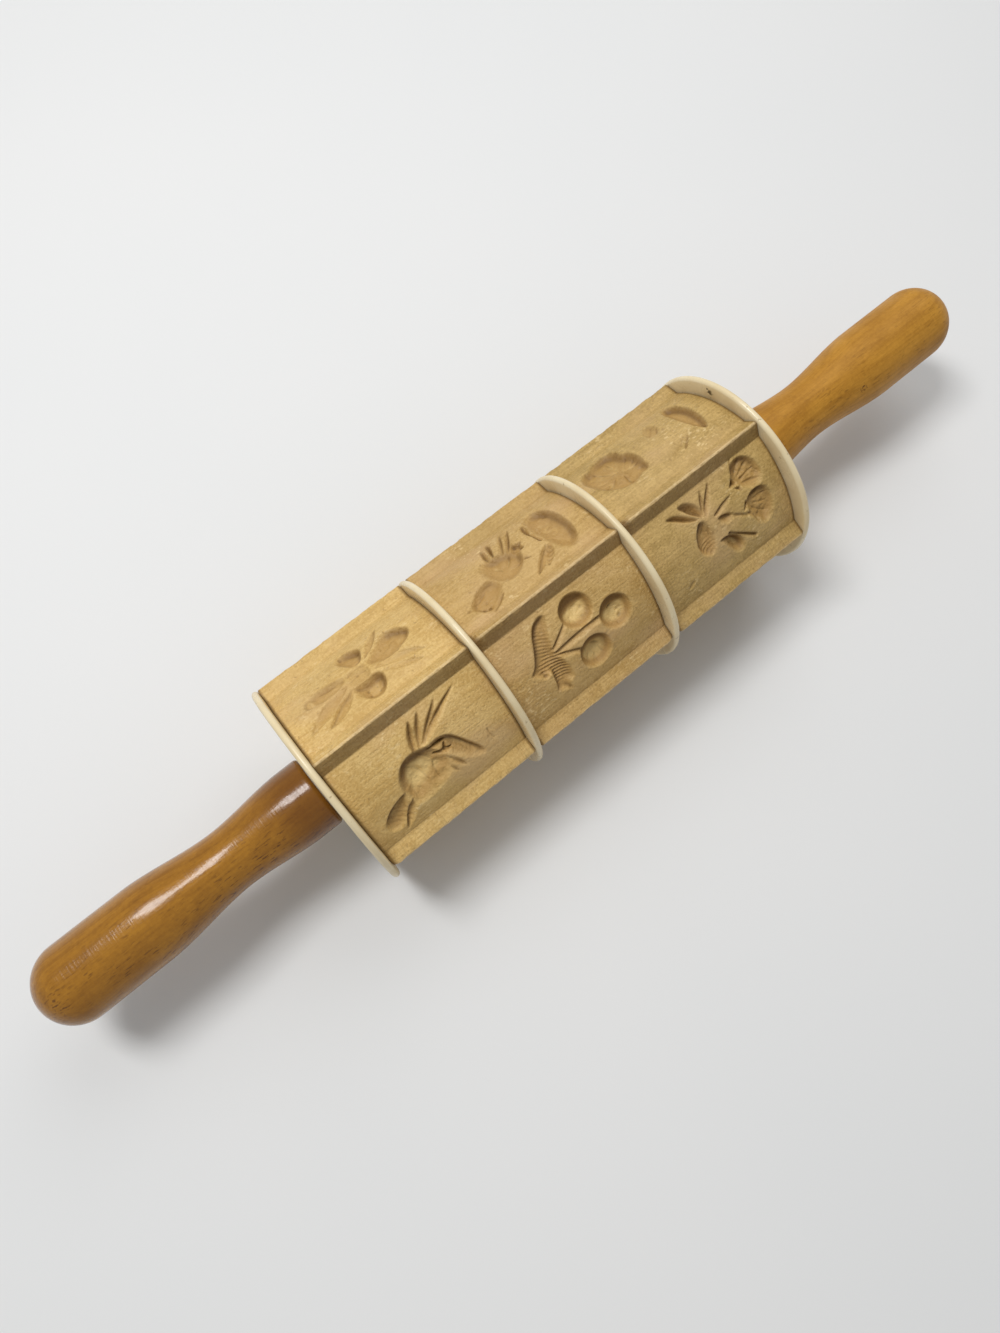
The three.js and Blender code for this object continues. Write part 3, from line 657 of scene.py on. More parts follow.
def pear(cut):
    cut.bowl(-4, 0, 18.5, 16, 0, BOWL, wall=0.55)
    cut.bowl(6, 0, 15, 9.4, 0, OVAL * 1.1)
    cut.stem((11.5, 0), (19, 3), 1.4, 1.5, bend=0.08)
    cut.leaf((13.5, 1.5), (22.5, 11.5), 6, LEAF, bend=-0.1, ribs=(1.6, 0.9, 0.3))
    cut.leaf((13.5, 0.5), (23.5, -8.5), 6, LEAF, bend=0.1, ribs=(1.6, 0.9, 0.3))
    cut.fan(-13.5, 0, 2.6, 4.6, 1.8, (130, 180, 230), LEAF, floor=vee_floor)
    cut.tool_marks()


def daisy(cut):
    cut.fan(0, 3, 7.4, 10, 4.8, range(0, 360, 36), LEAF * 1.2, widest=0.62, ribs=(9, 0, 0.1))
    cut.bowl(0, 3, 6.6, 6.6, 0, OVAL)
    cut.stem((0, -6), (1, -15), 1.3, 1.3, bend=0.05)
    cut.leaf((0, -11), (-18, -12), 5, LEAF, bend=-0.14, ribs=(1.6, 0.9, 0.3))
    cut.leaf((0.5, -11), (18, -12), 5, LEAF, bend=0.14, ribs=(1.6, 0.9, 0.3))
    cut.tool_marks()
    cut.pits([(u, 3 + v) for u in (-1.6, 0, 1.6) for v in (-1.6, 0, 1.6)], 1.3, 0.6)


def acorns(cut):
    for way in (-1, 1):
        cut.bowl(way * 8, 3, 13, 8.8, 90 + way * 32, BOWL * 0.9, wall=0.55)
        cut.bowl(way * 11.4, -3.4, 10.6, 5, -way * 58 + 90, OVAL * 0.9)
        cut.stem((way * 12.6, -6), (0, -15), 1.4, 1.4, bend=-way * 0.1)
    cut.leaf((0, -14), (0, 14.5), 7, LEAF, ribs=(2, 0.9, 0.35))
    cut.tool_marks()
    cut.hatch(-11.4, -3.4, 5, 1.3, 20, 0.5)
    cut.hatch(11.4, -3.4, 5, 1.3, -20, 0.5)


def tulip(cut):
    cut.bowl(8, 0, 17, 11.4, 0, BOWL * 0.9, wall=0.55)
    cut.leaf((4, 0), (22.5, 0), 6, OVAL * 1.1, floor=vee_floor)
    cut.stem((0.5, 0), (-21, 0), 1.5, 1.6)
    for way in (-1, 1):
        cut.leaf((2, way * 3), (21.5, way * 9.6), 7, LEAF * 1.3, bend=way * 0.05)
        cut.leaf((-19, way * 0.6), (1, way * 12.5), 6, LEAF, bend=way * 0.12, ribs=(1.8, 0.8, 0.25))
    cut.tool_marks()


def grapes(cut):
    grape = 7.4
    row_pitch = grape * math.cos(math.radians(30))
    for row in range(3):
        count = 3 - row
        for place in range(count):
            cut.bowl(-5 + row * row_pitch, (place - (count - 1) / 2) * grape, grape, wall=0.52)
    cut.stem((-8, 0), (-21.5, 2), 1.4, 1.4, bend=0.1)
    for way in (-1, 1):
        cut.leaf((-12, way * 1.5), (-22.5, way * 13.5), 8, LEAF, bend=-way * 0.1, ribs=(1.8, 0.9, 0.35))
    cut.spike((12, 2), (20, 8), 1.5, 1.2, bend=0.2)
    cut.tool_marks()


def wheat_ear(cut):
    cut.leaf((15, 0), (23, 0), 4, LEAF * 1.2)
    cut.stem((-23, 0), (17, 0), 1.3, 1.3)
    for way in (-1, 1):
        cut.leaf((-21, way * 0.3), (-8, way * 12.5), 3.8, LEAF, bend=-way * 0.12)
        for u in (-8, -2, 4, 10):
            tip = (u + 7.5, way * 6.8)
            cut.leaf((u, way * 0.6), tip, 4.4, LEAF * 1.2, bend=way * 0.06, ribs=(1.3, 0.6, 0.2))
            cut.spike((u + 6.5, way * 6), (u + 13, way * 11), 1, 0.9)
    cut.tool_marks()


def strawberries(cut):
    for u, v, size in ((-8, 3, 15.5), (10, -4, 13.5)):
        top = (u - size * 0.5, v + size * 0.3)
        cut.leaf(top, (u + size * 0.55, v - size * 0.33), size * 0.85, BOWL, widest=0.4)
        cut.fan(*top, 2.6, 6, 2.6, (60, 105, 150, 195, 240), LEAF, floor=vee_floor)
    cut.leaf((1, 4), (14.5, 13.5), 7, LEAF, bend=0.1, ribs=(1.7, 0.9, 0.35))
    cut.leaf((-3, -6), (-15, -13.5), 7, LEAF, bend=0.1, ribs=(1.7, 0.9, 0.35))
    cut.stem((-14.5, 8), (-20, 13.5), 1.3, 1.3, bend=0.1)
    cut.tool_marks()
    cut.pits([(-11 + a * 2.4, 5 - b * 2.4 + a * 0.6) for a in range(4) for b in range(3)], 1.1, 0.55)
    cut.pits([(7.6 + a * 2.4, -2.6 - b * 2.2 + a * 0.5) for a in range(3) for b in range(2)], 1.1, 0.55)


def cherries(cut):
    for way in (-1, 1):
        cut.stem((way * 8, -2), (0, 12.5), 1.4, 1.5, bend=way * 0.06)
        cut.bowl(way * 9, -6, 11.4, 11.2, 0, BOWL * 1.1, wall=0.52)
        cut.leaf((way * 0.5, 12.5), (way * 19, 9), 6.6, LEAF, bend=-way * 0.08, ribs=(1.6, 0.9, 0.35))
    cut.tool_marks()


def oak_leaf(cut):
    cut.leaf((-21, 0), (21.5, 0), 8, LEAF)
    for u in (-9.5, 0, 9.5):
        for way in (-1, 1):
            cut.bowl(u + 1, way * 5, 11.5, 6.6, way * 52, LEAF, wall=0.5)
    cut.tool_marks()
    cut.stem((-26, -3), (20, 0), 1.2, LEAF * 1.5, bend=0.02)
    for u in (-11, -2, 7):
        for way in (-1, 1):
            cut.stem((u, 0), (u + 5, way * 7.4), 0.9, LEAF * 1.35)


# Motifs of each block, panel by panel around the pin. The first and the last panel face up.
MOTIFS = {
    "left": (bell_spray, pear, daisy, acorns, spiked_blossom),
    "middle": (rose_buds, tulip, grapes, wheat_ear, berry_sprig),
    "right": (open_flower, strawberries, cherries, oak_leaf, carnation),
}


# Carved blocks

def block_columns(half_length):
    """Places along a block, close together over the motif and at the rounded ends."""
    inner = half_length - BLOCK_EDGE_ROUNDING
    motif = np.linspace(-MOTIF_REACH, MOTIF_REACH, MOTIF_COLUMNS)
    margin = np.linspace(MOTIF_REACH, inner, MARGIN_COLUMNS + 1)[1:]
    rounding = inner + BLOCK_EDGE_ROUNDING * np.sin(np.radians(BLOCK_EDGE_TURNS))
    end = np.concatenate([margin, rounding])
    return np.concatenate([-end[::-1], motif, end])


class BlockSkin:
    """Rows of points along a block, side by side around it, with what its wood's material reads there."""

    def __init__(self, node):
        low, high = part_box(node)
        self.middle = (low.x + high.x) / 2 / MM
        self.half_length = (high.x - low.x) / 2 / MM
        self.u = block_columns(self.half_length)
        from_end = np.abs(self.u) - self.half_length
        edge = np.clip(from_end / BLOCK_EDGE_ROUNDING + 1, 0, 1)
        self.end_drop = BLOCK_EDGE_ROUNDING * (1 - np.sqrt(1 - edge ** 2))
        # painted shade on the block's ends, where they meet the discs
        self.disc_joint_shade = np.clip((from_end + DISC_JOINT_SHADE_WIDTH) / DISC_JOINT_SHADE_FADE, 0, 1)
        self.rows = []
        self.fields = {"carve_depth": [], "shade_and_grime": [], "cut_wall": [], "ridge": []}

    def add_row(self, base, out, sunk, shade_and_grime, **fields):
        """A row that lies below a section point by what is sunk there."""
        y = base[0] - out[0] * sunk
        z = base[1] - out[1] * sunk
        self.rows.append(np.column_stack([self.u + self.middle, y, z]))
        fields["shade_and_grime"] = np.clip(shade_and_grime + self.disc_joint_shade, 0, 1)
        for label, values in self.fields.items():
            values.append(fields.get(label, np.zeros(len(self.u))))


def painted_wall_shade(carving, panel, u, v):
    """How much painted shade the walls on the shaded side of a panel's hollows get."""
    along_side, round_side, amount = WALL_SHADE_SIDES.get(panel, WALL_SHADE_SIDES_ELSEWHERE)
    fall_v, fall_u = np.gradient(blurred(carving.cut, WALL_SHADE_BLUR), v, u)
    rise = -(fall_u * along_side + fall_v * round_side)
    inside = np.clip(carving.cut / WALL_SHADE_DEPTH, 0, 1)
    return amount * np.clip(rise / WALL_SHADE_SLOPE, 0, 1) * inside


def corner_shade_and_grime(carving, panel, u, v):
    """Painted shade, with some grime, in the corners of a panel's hollows, and painted shade along their
    rims and at the feet of the ridges beside it.
    """
    clean = blurred(carving.depth - carving.marks, CARVING_BLUR)
    # painted shade, with some grime, where the carving lies deeper than round about
    corners = (clean - blurred(clean, CORNER_BLUR)) / CORNER_DEPTH
    slope_v, slope_u = np.gradient(carving.cut, v, u)
    steepness = np.clip(np.hypot(slope_v, slope_u) - RIM_SLOPE, 0, 1)
    # painted shade along the steep rims of the shallow cuts
    rims = np.interp(carving.cut, RIM_DEPTHS, RIM_SHARES) * steepness
    # painted shade in the crease at the feet of the ridges
    from_foot = np.abs(v) - PANEL_HALF_WIDTH + FOOT_SHADE_WIDTH
    feet = np.clip(from_foot / FOOT_SHADE_WIDTH, 0, 1) * FOOT_SHADE.get(panel, FOOT_SHADE_ELSEWHERE)
    return corners + rims + feet[:, None]


def add_panel(skin, panel, motif, seed):
    """Add the rows of one carved panel to a block's skin."""
    rows = SEEN_PANEL_ROWS if panel in SEEN_PANELS else HIDDEN_PANEL_ROWS
    v = np.linspace(-PANEL_HALF_WIDTH, PANEL_HALF_WIDTH, rows)
    carving = Carving(skin.u, v, seed)
    motif(carving)
    depth = blurred(carving.depth, CARVING_BLUR)
    walls = painted_wall_shade(carving, panel, skin.u, v)
    corners = corner_shade_and_grime(carving, panel, skin.u, v)
    angle = panel_angle(panel)
    for row, arc in enumerate(v / PANEL_CROWN_RADIUS):
        out = to_section(math.sin(arc), math.cos(arc), angle)
        skin.add_row(
            on_crown(arc, angle), out, depth[row] + skin.end_drop, corners[row],
            carve_depth=depth[row] / BOWL, cut_wall=walls[row],
        )


def ridge_rows(panel):
    """Section points of the ridge after a panel, with how high each is and how much painted shade it gets.
    """
    angle = panel_angle(panel)
    foot = on_crown(PANEL_HALF_ARC, angle)
    far_foot = on_crown(-PANEL_HALF_ARC, angle + 2 * HALF_PANEL_ANGLE)
    half_crest = RIDGE_CREST_WIDTH / 2
    crest = to_section(-half_crest, RIDGE_CREST_RADIUS, angle + HALF_PANEL_ANGLE)
    far_crest = to_section(half_crest, RIDGE_CREST_RADIUS, angle + HALF_PANEL_ANGLE)
    # painted shade on the flank before the crest and at the foot of the flank after it
    flank_shade, foot_shade = RIDGE_SHADE.get(panel, RIDGE_SHADE_ELSEWHERE)
    rows = [(foot + (crest - foot) * share, share, flank_shade) for share in FLANK_SHARES]
    rows.append((crest, 1.0, flank_shade / 2))
    rows.append(((crest + far_crest) / 2 * CREST_SWELL, 1.0, 0.0))
    rows.append((far_crest, 1.0, 0.0))
    for share in reversed(FLANK_SHARES):
        painted_shade = max(foot_shade - share * RIDGE_SHADE_FALL, 0.0)
        rows.append((far_foot + (far_crest - far_foot) * share, share, painted_shade))
    return rows


def add_ridge(skin, panel, chipped_corners, chance):
    """Add the rows of the ridge after a panel to a block's skin, its crest worn and its corners chipped."""
    for base, height, painted_shade in ridge_rows(panel):
        wear = np.abs(blurred(chance.normal(size=(1, len(skin.u))), CREST_WEAR_BLUR)[0]) * CREST_WEAR
        broken = np.zeros(len(skin.u))
        for ridge, end, length, drop in chipped_corners:
            if ridge == panel:
                to_end = skin.half_length - end * skin.u
                broken = broken + height * drop * np.clip(1 - to_end / length, 0, 1)
        sunk = wear * (height == 1.0) + broken + skin.end_drop * (1 + height)
        # each row carries its painted shade, and is darkened more where a corner broke off
        skin.add_row(
            base, base / np.linalg.norm(base), sunk, painted_shade + broken,
            cut_wall=np.clip(broken, 0, 1),
            ridge=np.full(len(skin.u), 0.0 if panel == SMOOTH_RIDGE else height),
        )


def block_mesh(name, skin):
    """A block's skin closed by its two ends and the passage for the axle."""
    outer = np.array(skin.rows)
    rows, columns = outer.shape[:2]
    way = np.arctan2(outer[:, :1, 1], outer[:, :1, 2])
    passage = np.concatenate([np.sin(way), np.cos(way)], axis=1) * AXLE_PASSAGE_RADIUS
    ends = [np.column_stack([np.full(rows, skin.u[end] + skin.middle), passage]) for end in (0, -1)]
    vertices = np.concatenate([outer.reshape(-1, 3), *ends]) * MM
    grid = np.arange(rows * columns).reshape(rows, columns)
    left = rows * columns + np.arange(rows)
    right = left + rows
    after = np.roll(np.arange(rows), -1)
    corners = [grid[:, :-1], grid[:, 1:], grid[after, 1:], grid[after, :-1]]
    outside = np.stack(corners, axis=-1).reshape(-1, 4)
    right_end = np.stack([grid[:, -1], right, right[after], grid[after, -1]], axis=-1)
    left_end = np.stack([grid[:, 0], grid[after, 0], left[after], left], axis=-1)
    wall = np.stack([right, left, left[after], right[after]], axis=-1)
    faces = np.concatenate([outside, right_end, left_end, wall])
    mesh = bpy.data.meshes.new(name)
    mesh.from_pydata(vertices.tolist(), [], faces.tolist())
    mesh.polygons.foreach_set("use_smooth", np.arange(len(faces)) < len(outside))
    plain = np.zeros(2 * rows)
    for label, values in skin.fields.items():
        attribute = mesh.attributes.new(label, "FLOAT", "POINT")
        attribute.data.foreach_set("value", np.concatenate([*values, plain]).astype(np.float32))
    mesh.set_sharp_from_angle(angle=BLOCK_SHARP_ANGLE)
    return mesh


def carved_block(side, node, seed, material):
    skin = BlockSkin(node)
    chance = np.random.default_rng(seed)
    for panel, motif in enumerate(MOTIFS[side]):
        add_panel(skin, panel, motif, seed * 10 + panel)
        add_ridge(skin, panel, CHIPPED_CORNERS[side], chance)
    name = f"carved_block_{side}"
    mesh = block_mesh(name, skin)
    mesh.materials.append(material)
    piece = bpy.data.objects.new(name, mesh)
    bpy.context.scene.collection.objects.link(piece)
    return piece


# Node trees

class Sheet:
    """A node tree that is being wired up."""

    def __init__(self, tree):
        self.tree = tree

    def add(self, kind, inputs=None, **settings):
        node = self.tree.nodes.new(kind)
        for key, value in settings.items():
            setattr(node, key, value)
        for key, value in (inputs or {}).items():
            self.put(node.inputs[key], value)
        return node

    def put(self, socket, value):
        if isinstance(value, bpy.types.NodeSocket):
            self.tree.links.new(value, socket)
        else:
            socket.default_value = value

    def math(self, operation, first, second=0.0):
        return self.add("ShaderNodeMath", {0: first, 1: second}, operation=operation).outputs[0]

    def plus(self, first, second):
        return self.math("ADD", first, second)

    def minus(self, first, second):
        return self.math("SUBTRACT", first, second)

    def times(self, first, second):
        return self.math("MULTIPLY", first, second)

    def weighted(self, *terms):
        """Sum of values, each times its weight."""
        total = self.times(*terms[0])
        for value, weight in terms[1:]:
            total = self.plus(total, self.times(value, weight))
        return total

    def span(self, value, low, high, to_low=0.0, to_high=1.0, smooth=False):
        """A value mapped from one span to another, held at the ends."""
        inputs = {"Value": value, "From Min": low, "From Max": high, "To Min": to_low, "To Max": to_high}
        kind = "SMOOTHSTEP" if smooth else "LINEAR"
        return self.add("ShaderNodeMapRange", inputs, interpolation_type=kind).outputs["Result"]

    def vector(self, operation, first, second=(0.0, 0.0, 0.0)):
        return self.add("ShaderNodeVectorMath", {0: first, 1: second}, operation=operation).outputs

    def split(self, vector):
        return self.add("ShaderNodeSeparateXYZ", {0: vector}).outputs

    def join(self, x, y, z):
        return self.add("ShaderNodeCombineXYZ", {0: x, 1: y, 2: z}).outputs[0]

    def mix(self, share, first, second):
        """One colour laid over another."""
        node = self.add("ShaderNodeMix", data_type="RGBA", blend_type="MIX")
        sockets = {socket.identifier: socket for socket in node.inputs}
        self.put(sockets["Factor_Float"], share)
        self.put(sockets["A_Color"], first)
        self.put(sockets["B_Color"], second)
        return {socket.identifier: socket for socket in node.outputs}["Result_Color"]

    def layered(self, colour, *layers):
        """Colours laid over one another, each by the share before it."""
        for share, tint in layers:
            colour = self.mix(share, colour, tint)
        return colour

    def noise(self, vector, scale=1.0, detail=2.0, roughness=0.5, stretch=None):
        """Random swells, scaled along X, Y and Z first where a stretch is given."""
        if stretch:
            vector = self.add("ShaderNodeMapping", {"Vector": vector, "Scale": stretch}).outputs[0]
        inputs = {"Vector": vector, "Scale": scale, "Detail": detail, "Roughness": roughness}
        return self.add("ShaderNodeTexNoise", inputs).outputs["Fac"]


def add_sockets(tree, inputs, outputs):
    for label, kind, value in inputs:
        socket = tree.interface.new_socket(name=label, in_out="INPUT", socket_type=kind)
        if value is not None:
            socket.default_value = value
    for label, kind in outputs:
        tree.interface.new_socket(name=label, in_out="OUTPUT", socket_type=kind)


# Turned pieces as geometry nodes

def lathe_tree(name, sizes, outline):
    """A tree that turns an outline about X. The outline gives place along and radius for a share of it."""
    tree = bpy.data.node_groups.new(name, "GeometryNodeTree")
    counts = [(label, "NodeSocketInt", 64) for label in ("Steps round", "Steps along")]
    places = [("Start", "NodeSocketFloat", 0.0), ("Way", "NodeSocketFloat", 1.0)]
    lengths = [(label, "NodeSocketFloat", 0.01) for label in sizes]
    finish = [("Material", "NodeSocketMaterial", None)]
    add_sockets(tree, counts + places + lengths + finish, [("Geometry", "NodeSocketGeometry")])
    sheet = Sheet(tree)
    given = sheet.add("NodeGroupInput").outputs
    counts = {"Vertices X": given["Steps along"], "Vertices Y": sheet.plus(given["Steps round"], 1)}
    grid = sheet.add("GeometryNodeMeshGrid", {"Size X": 1.0, "Size Y": 1.0, **counts})
    place = sheet.split(sheet.add("GeometryNodeInputPosition").outputs[0])
    turn = sheet.times(sheet.plus(place[1], 0.5), 2 * math.pi)
    along, radius = outline(sheet, sheet.plus(place[0], 0.5), given)
    x = sheet.plus(given["Start"], sheet.times(along, given["Way"]))
    y = sheet.times(sheet.times(sheet.times(radius, given["Way"]), sheet.math("SINE", turn)), -1.0)
    z = sheet.times(radius, sheet.math("COSINE", turn))
    steps = (
        ("GeometryNodeSetPosition", {"Position": sheet.join(x, y, z)}),
        ("GeometryNodeMergeByDistance", {"Distance": WELD_DISTANCE}),
        ("GeometryNodeSetShadeSmooth", {}),
        ("GeometryNodeRealizeInstances", {}),
        ("GeometryNodeSetMaterial", {"Material": given["Material"]}),
    )
    shape = grid.outputs["Mesh"]
    for kind, inputs in steps:
        shape = sheet.add(kind, {"Geometry": shape, **inputs}).outputs[0]
    sheet.add("NodeGroupOutput", {"Geometry": shape})
    return tree


def handle_outline(sheet, share, given):
    """Collar, waist, grip and rounded nose, closed on the axis at both ends."""
    first = sheet.math("DIVIDE", 1.0, sheet.minus(given["Steps along"], 1))
    run = sheet.span(share, first, 1.0)
    eased = sheet.minus(1.0, sheet.math("COSINE", sheet.times(run, math.pi)))
    along = sheet.times(sheet.times(eased, 0.5), given["Length"])
    to_waist = sheet.span(
        along, given["Collar length"], given["Waist at"],
        given["Collar radius"], given["Waist radius"], smooth=True,
    )
    to_grip = sheet.span(
        along, given["Waist at"], given["Grip at"],
        0.0, sheet.minus(given["Grip radius"], given["Waist radius"]), smooth=True,
    )
    nose = sheet.span(along, sheet.minus(given["Length"], given["Nose length"]), given["Length"])
    closing = sheet.math("SQRT", sheet.minus(1.0, sheet.times(nose, nose)))
    edge = sheet.span(along, 0.0, given["Edge rounding"], 1.0, 0.0)
    arc = sheet.math("SQRT", sheet.minus(1.0, sheet.times(edge, edge)))
    drop = sheet.times(given["Edge rounding"], sheet.minus(1.0, arc))
    radius = sheet.minus(sheet.times(sheet.plus(to_waist, to_grip), closing), drop)
    past_axis = sheet.math("GREATER_THAN", share, sheet.times(first, 0.5))
    return along, sheet.times(radius, past_axis)


def disc_outline(sheet, share, given):
    """Two flat faces and a rounded rim, closed round the hole."""
    last = sheet.minus(given["Steps along"], 1)
    loop = sheet.math("DIVIDE", sheet.minus(last, 1), last)
    inside = sheet.math("LESS_THAN", share, sheet.times(sheet.plus(loop, 1.0), 0.5))
    run = sheet.times(sheet.span(share, 0.0, loop), inside)
    half = sheet.times(given["Thickness"], 0.5)
    turn = sheet.span(run, DISC_FACE_SHARE, 1 - DISC_FACE_SHARE, -math.pi / 2, math.pi / 2)
    along = sheet.times(half, sheet.math("SINE", turn))
    rim = sheet.plus(sheet.minus(given["Radius"], half), sheet.times(half, sheet.math("COSINE", turn)))
    face = sheet.times(sheet.span(run, 0.0, DISC_FACE_SHARE), sheet.span(run, 1.0, 1 - DISC_FACE_SHARE))
    reach = sheet.times(sheet.minus(rim, given["Hole radius"]), face)
    return along, sheet.plus(given["Hole radius"], reach)


def turned_piece(name, tree, values):
    """A plain mesh made by a tree with its named inputs set."""
    holder = bpy.data.objects.new(name, bpy.data.meshes.new(name))
    bpy.context.scene.collection.objects.link(holder)
    modifier = holder.modifiers.new("turned", "NODES")
    modifier.node_group = tree
    sockets = {item.name: item.identifier for item in tree.interface.items_tree if item.in_out == "INPUT"}
    for label, value in values.items():
        modifier[sockets[label]] = value
    evaluated = holder.evaluated_get(bpy.context.evaluated_depsgraph_get())
    mesh = bpy.data.meshes.new_from_object(evaluated)
    holder.modifiers.remove(modifier)
    holder.data = mesh
    mesh.name = name
    mesh.set_sharp_from_angle(angle=TURNED_SHARP_ANGLE)
    return holder


# Colours of the carved wood
OLIVE_PATCH = (0.39, 0.27, 0.10, 1.0)
HONEY_PATCH = (0.64, 0.43, 0.185, 1.0)
ROSY_PATCH = (0.59, 0.385, 0.195, 1.0)
DARK_SPECK = (0.24, 0.13, 0.045, 1.0)
PALE_FLAKE = (0.80, 0.60, 0.30, 1.0)
RUBBED_CREST = (0.76, 0.57, 0.31, 1.0)
ROUGH_CUT = (0.36, 0.23, 0.085, 1.0)
# brown of stain and painted shade in the hollows
HOLLOW_STAIN_AND_SHADE = (0.41, 0.235, 0.07, 1.0)
# paler cut wood with painted light, for the deep floors of the hollows
LIT_PALE_FLOOR = (0.78, 0.56, 0.225, 1.0)
# dark brown of the painted shade on the hollows' shaded walls
SHADED_WALL_BROWN = (0.13, 0.063, 0.018, 1.0)
# dark brown of painted shade, with some grime, in corners and creases, at the discs and on the ridges
SHADE_AND_GRIME_BROWN = (0.14, 0.07, 0.016, 1.0)

# Colours of the varnished handles
RAY_FLECK = (0.09, 0.03, 0.005, 1.0)
DARK_PORE = (0.14, 0.052, 0.008, 1.0)
HANDLE_DENT = (0.12, 0.045, 0.008, 1.0)
# painted shade on the handles next to the discs
COLLAR_SHADE = (0.13, 0.04, 0.004, 1.0)

# Colours of the discs
CREAM = (0.80, 0.68, 0.44, 1.0)
YELLOWED_CREAM = (0.72, 0.58, 0.34, 1.0)
# darker tone of the disc faces towards the wood
DISC_NEAR_WOOD_TONE = (0.45, 0.32, 0.15, 1.0)
DISC_SPECK = (0.30, 0.20, 0.09, 1.0)
DISC_NICK = (0.07, 0.045, 0.02, 1.0)

# Pale and dark colours of the inner pieces and the floor
PEG_COLOURS = ((0.50, 0.31, 0.13, 1.0), (0.28, 0.15, 0.05, 1.0))
NYLON_COLOURS = ((0.70, 0.66, 0.58, 1.0), (0.80, 0.77, 0.70, 1.0))
STEEL_COLOURS = ((0.50, 0.51, 0.52, 1.0), (0.62, 0.63, 0.64, 1.0))
FLOOR_COLOURS = ((0.755, 0.765, 0.765, 1.0), (0.79, 0.79, 0.785, 1.0))


# Effects that more than one material uses

def new_effect(name, inputs, outputs):
    """A shader group, its sheet and the values that it is given."""
    tree = bpy.data.node_groups.new(name, "ShaderNodeTree")
    add_sockets(tree, inputs, [(label, "NodeSocketFloat") for label in outputs])
    sheet = Sheet(tree)
    return tree, sheet, sheet.add("NodeGroupInput").outputs


def wood_grain_effect():
    """Growth rings, fibres, pores and soft clouds of wood that grew along X."""
    inputs = [
        ("Vector", "NodeSocketVector", None),
        ("Pith", "NodeSocketVector", (0.0, 0.0, -0.1)),
        ("Ring pitch", "NodeSocketFloat", 0.003),
        ("Waviness", "NodeSocketFloat", 0.5),
        ("Fibre scale", "NodeSocketFloat", 900.0),
    ]
    tree, sheet, given = new_effect("wood_grain", inputs, ("Rings", "Fibre", "Pores", "Clouds"))
    place = given["Vector"]
    from_pith = sheet.vector("SUBTRACT", place, given["Pith"])[0]
    distance = sheet.vector("LENGTH", sheet.vector("MULTIPLY", from_pith, (0.0, 1.0, 1.0))[0])["Value"]
    wander = sheet.noise(place, detail=3.0, stretch=(9.0, 45.0, 45.0))
    wander = sheet.times(wander, sheet.times(given["Waviness"], 6.0))
    rings = sheet.math("FRACT", sheet.plus(sheet.math("DIVIDE", distance, given["Ring pitch"]), wander))
    late_wood = sheet.times(sheet.math("POWER", rings, 2.0), sheet.span(rings, 1.0, 0.9))
    fibre = sheet.noise(place, given["Fibre scale"], 4.0, 0.6, stretch=(0.03, 1.0, 1.0))
    pore_scale = sheet.times(given["Fibre scale"], 1.9)
    pores = sheet.span(sheet.noise(place, pore_scale, stretch=(0.06, 1.0, 1.0)), 0.62, 0.74, smooth=True)
    clouds = sheet.noise(place, detail=3.0, roughness=0.55, stretch=(14.0, 38.0, 38.0))
    sheet.add("NodeGroupOutput", {"Rings": late_wood, "Fibre": fibre, "Pores": pores, "Clouds": clouds})
    return tree


def small_mark_effect():
    """One small ragged mark round a place."""
    inputs = [
        ("Vector", "NodeSocketVector", None),
        ("Middle", "NodeSocketVector", (0.0, 0.0, 0.0)),
        ("Radius", "NodeSocketFloat", 0.001),
    ]
    tree, sheet, given = new_effect("small_mark", inputs, ("Mark",))
    radius = given["Radius"]
    distance = sheet.vector("DISTANCE", given["Vector"], given["Middle"])["Value"]
    ragged = sheet.minus(sheet.noise(given["Vector"], 1100.0), 0.5)
    reach = sheet.plus(distance, sheet.times(ragged, sheet.times(radius, 3.0)))
    sheet.add("NodeGroupOutput", {"Mark": sheet.span(reach, radius, sheet.times(radius, 0.4))})
    return tree


WOOD_GRAIN = wood_grain_effect()
SMALL_MARK = small_mark_effect()


# Materials

def new_material(name):
    material = bpy.data.materials.new(name)
    material.use_nodes = True
    material.node_tree.nodes.clear()
    sheet = Sheet(material.node_tree)
    shader = sheet.add("ShaderNodeBsdfPrincipled")
    sheet.add("ShaderNodeOutputMaterial", {"Surface": shader.outputs[0]})
    place = sheet.add("ShaderNodeTexCoord").outputs["Object"]
    return material, sheet, shader, place


def finish_surface(sheet, shader, colour, roughness, height, distance, strength):
    """Wire a surface's colour and roughness, and its fine height as bumps."""
    relief = {"Height": height, "Distance": distance, "Strength": strength}
    sheet.put(shader.inputs["Base Color"], colour)
    sheet.put(shader.inputs["Roughness"], roughness)
    sheet.put(shader.inputs["Normal"], sheet.add("ShaderNodeBump", relief).outputs[0])


def wood_grain(sheet, place, pith, ring_pitch, waviness, fibre_scale):
    values = {
        "Vector": place,
        "Pith": pith,
        "Ring pitch": ring_pitch,
        "Waviness": waviness,
        "Fibre scale": fibre_scale,
    }
    return sheet.add("ShaderNodeGroup", values, node_tree=WOOD_GRAIN).outputs


def small_mark(sheet, place, middle):
    values = {"Vector": place, "Middle": middle, "Radius": MARK_RADIUS}
    return sheet.add("ShaderNodeGroup", values, node_tree=SMALL_MARK).outputs["Mark"]


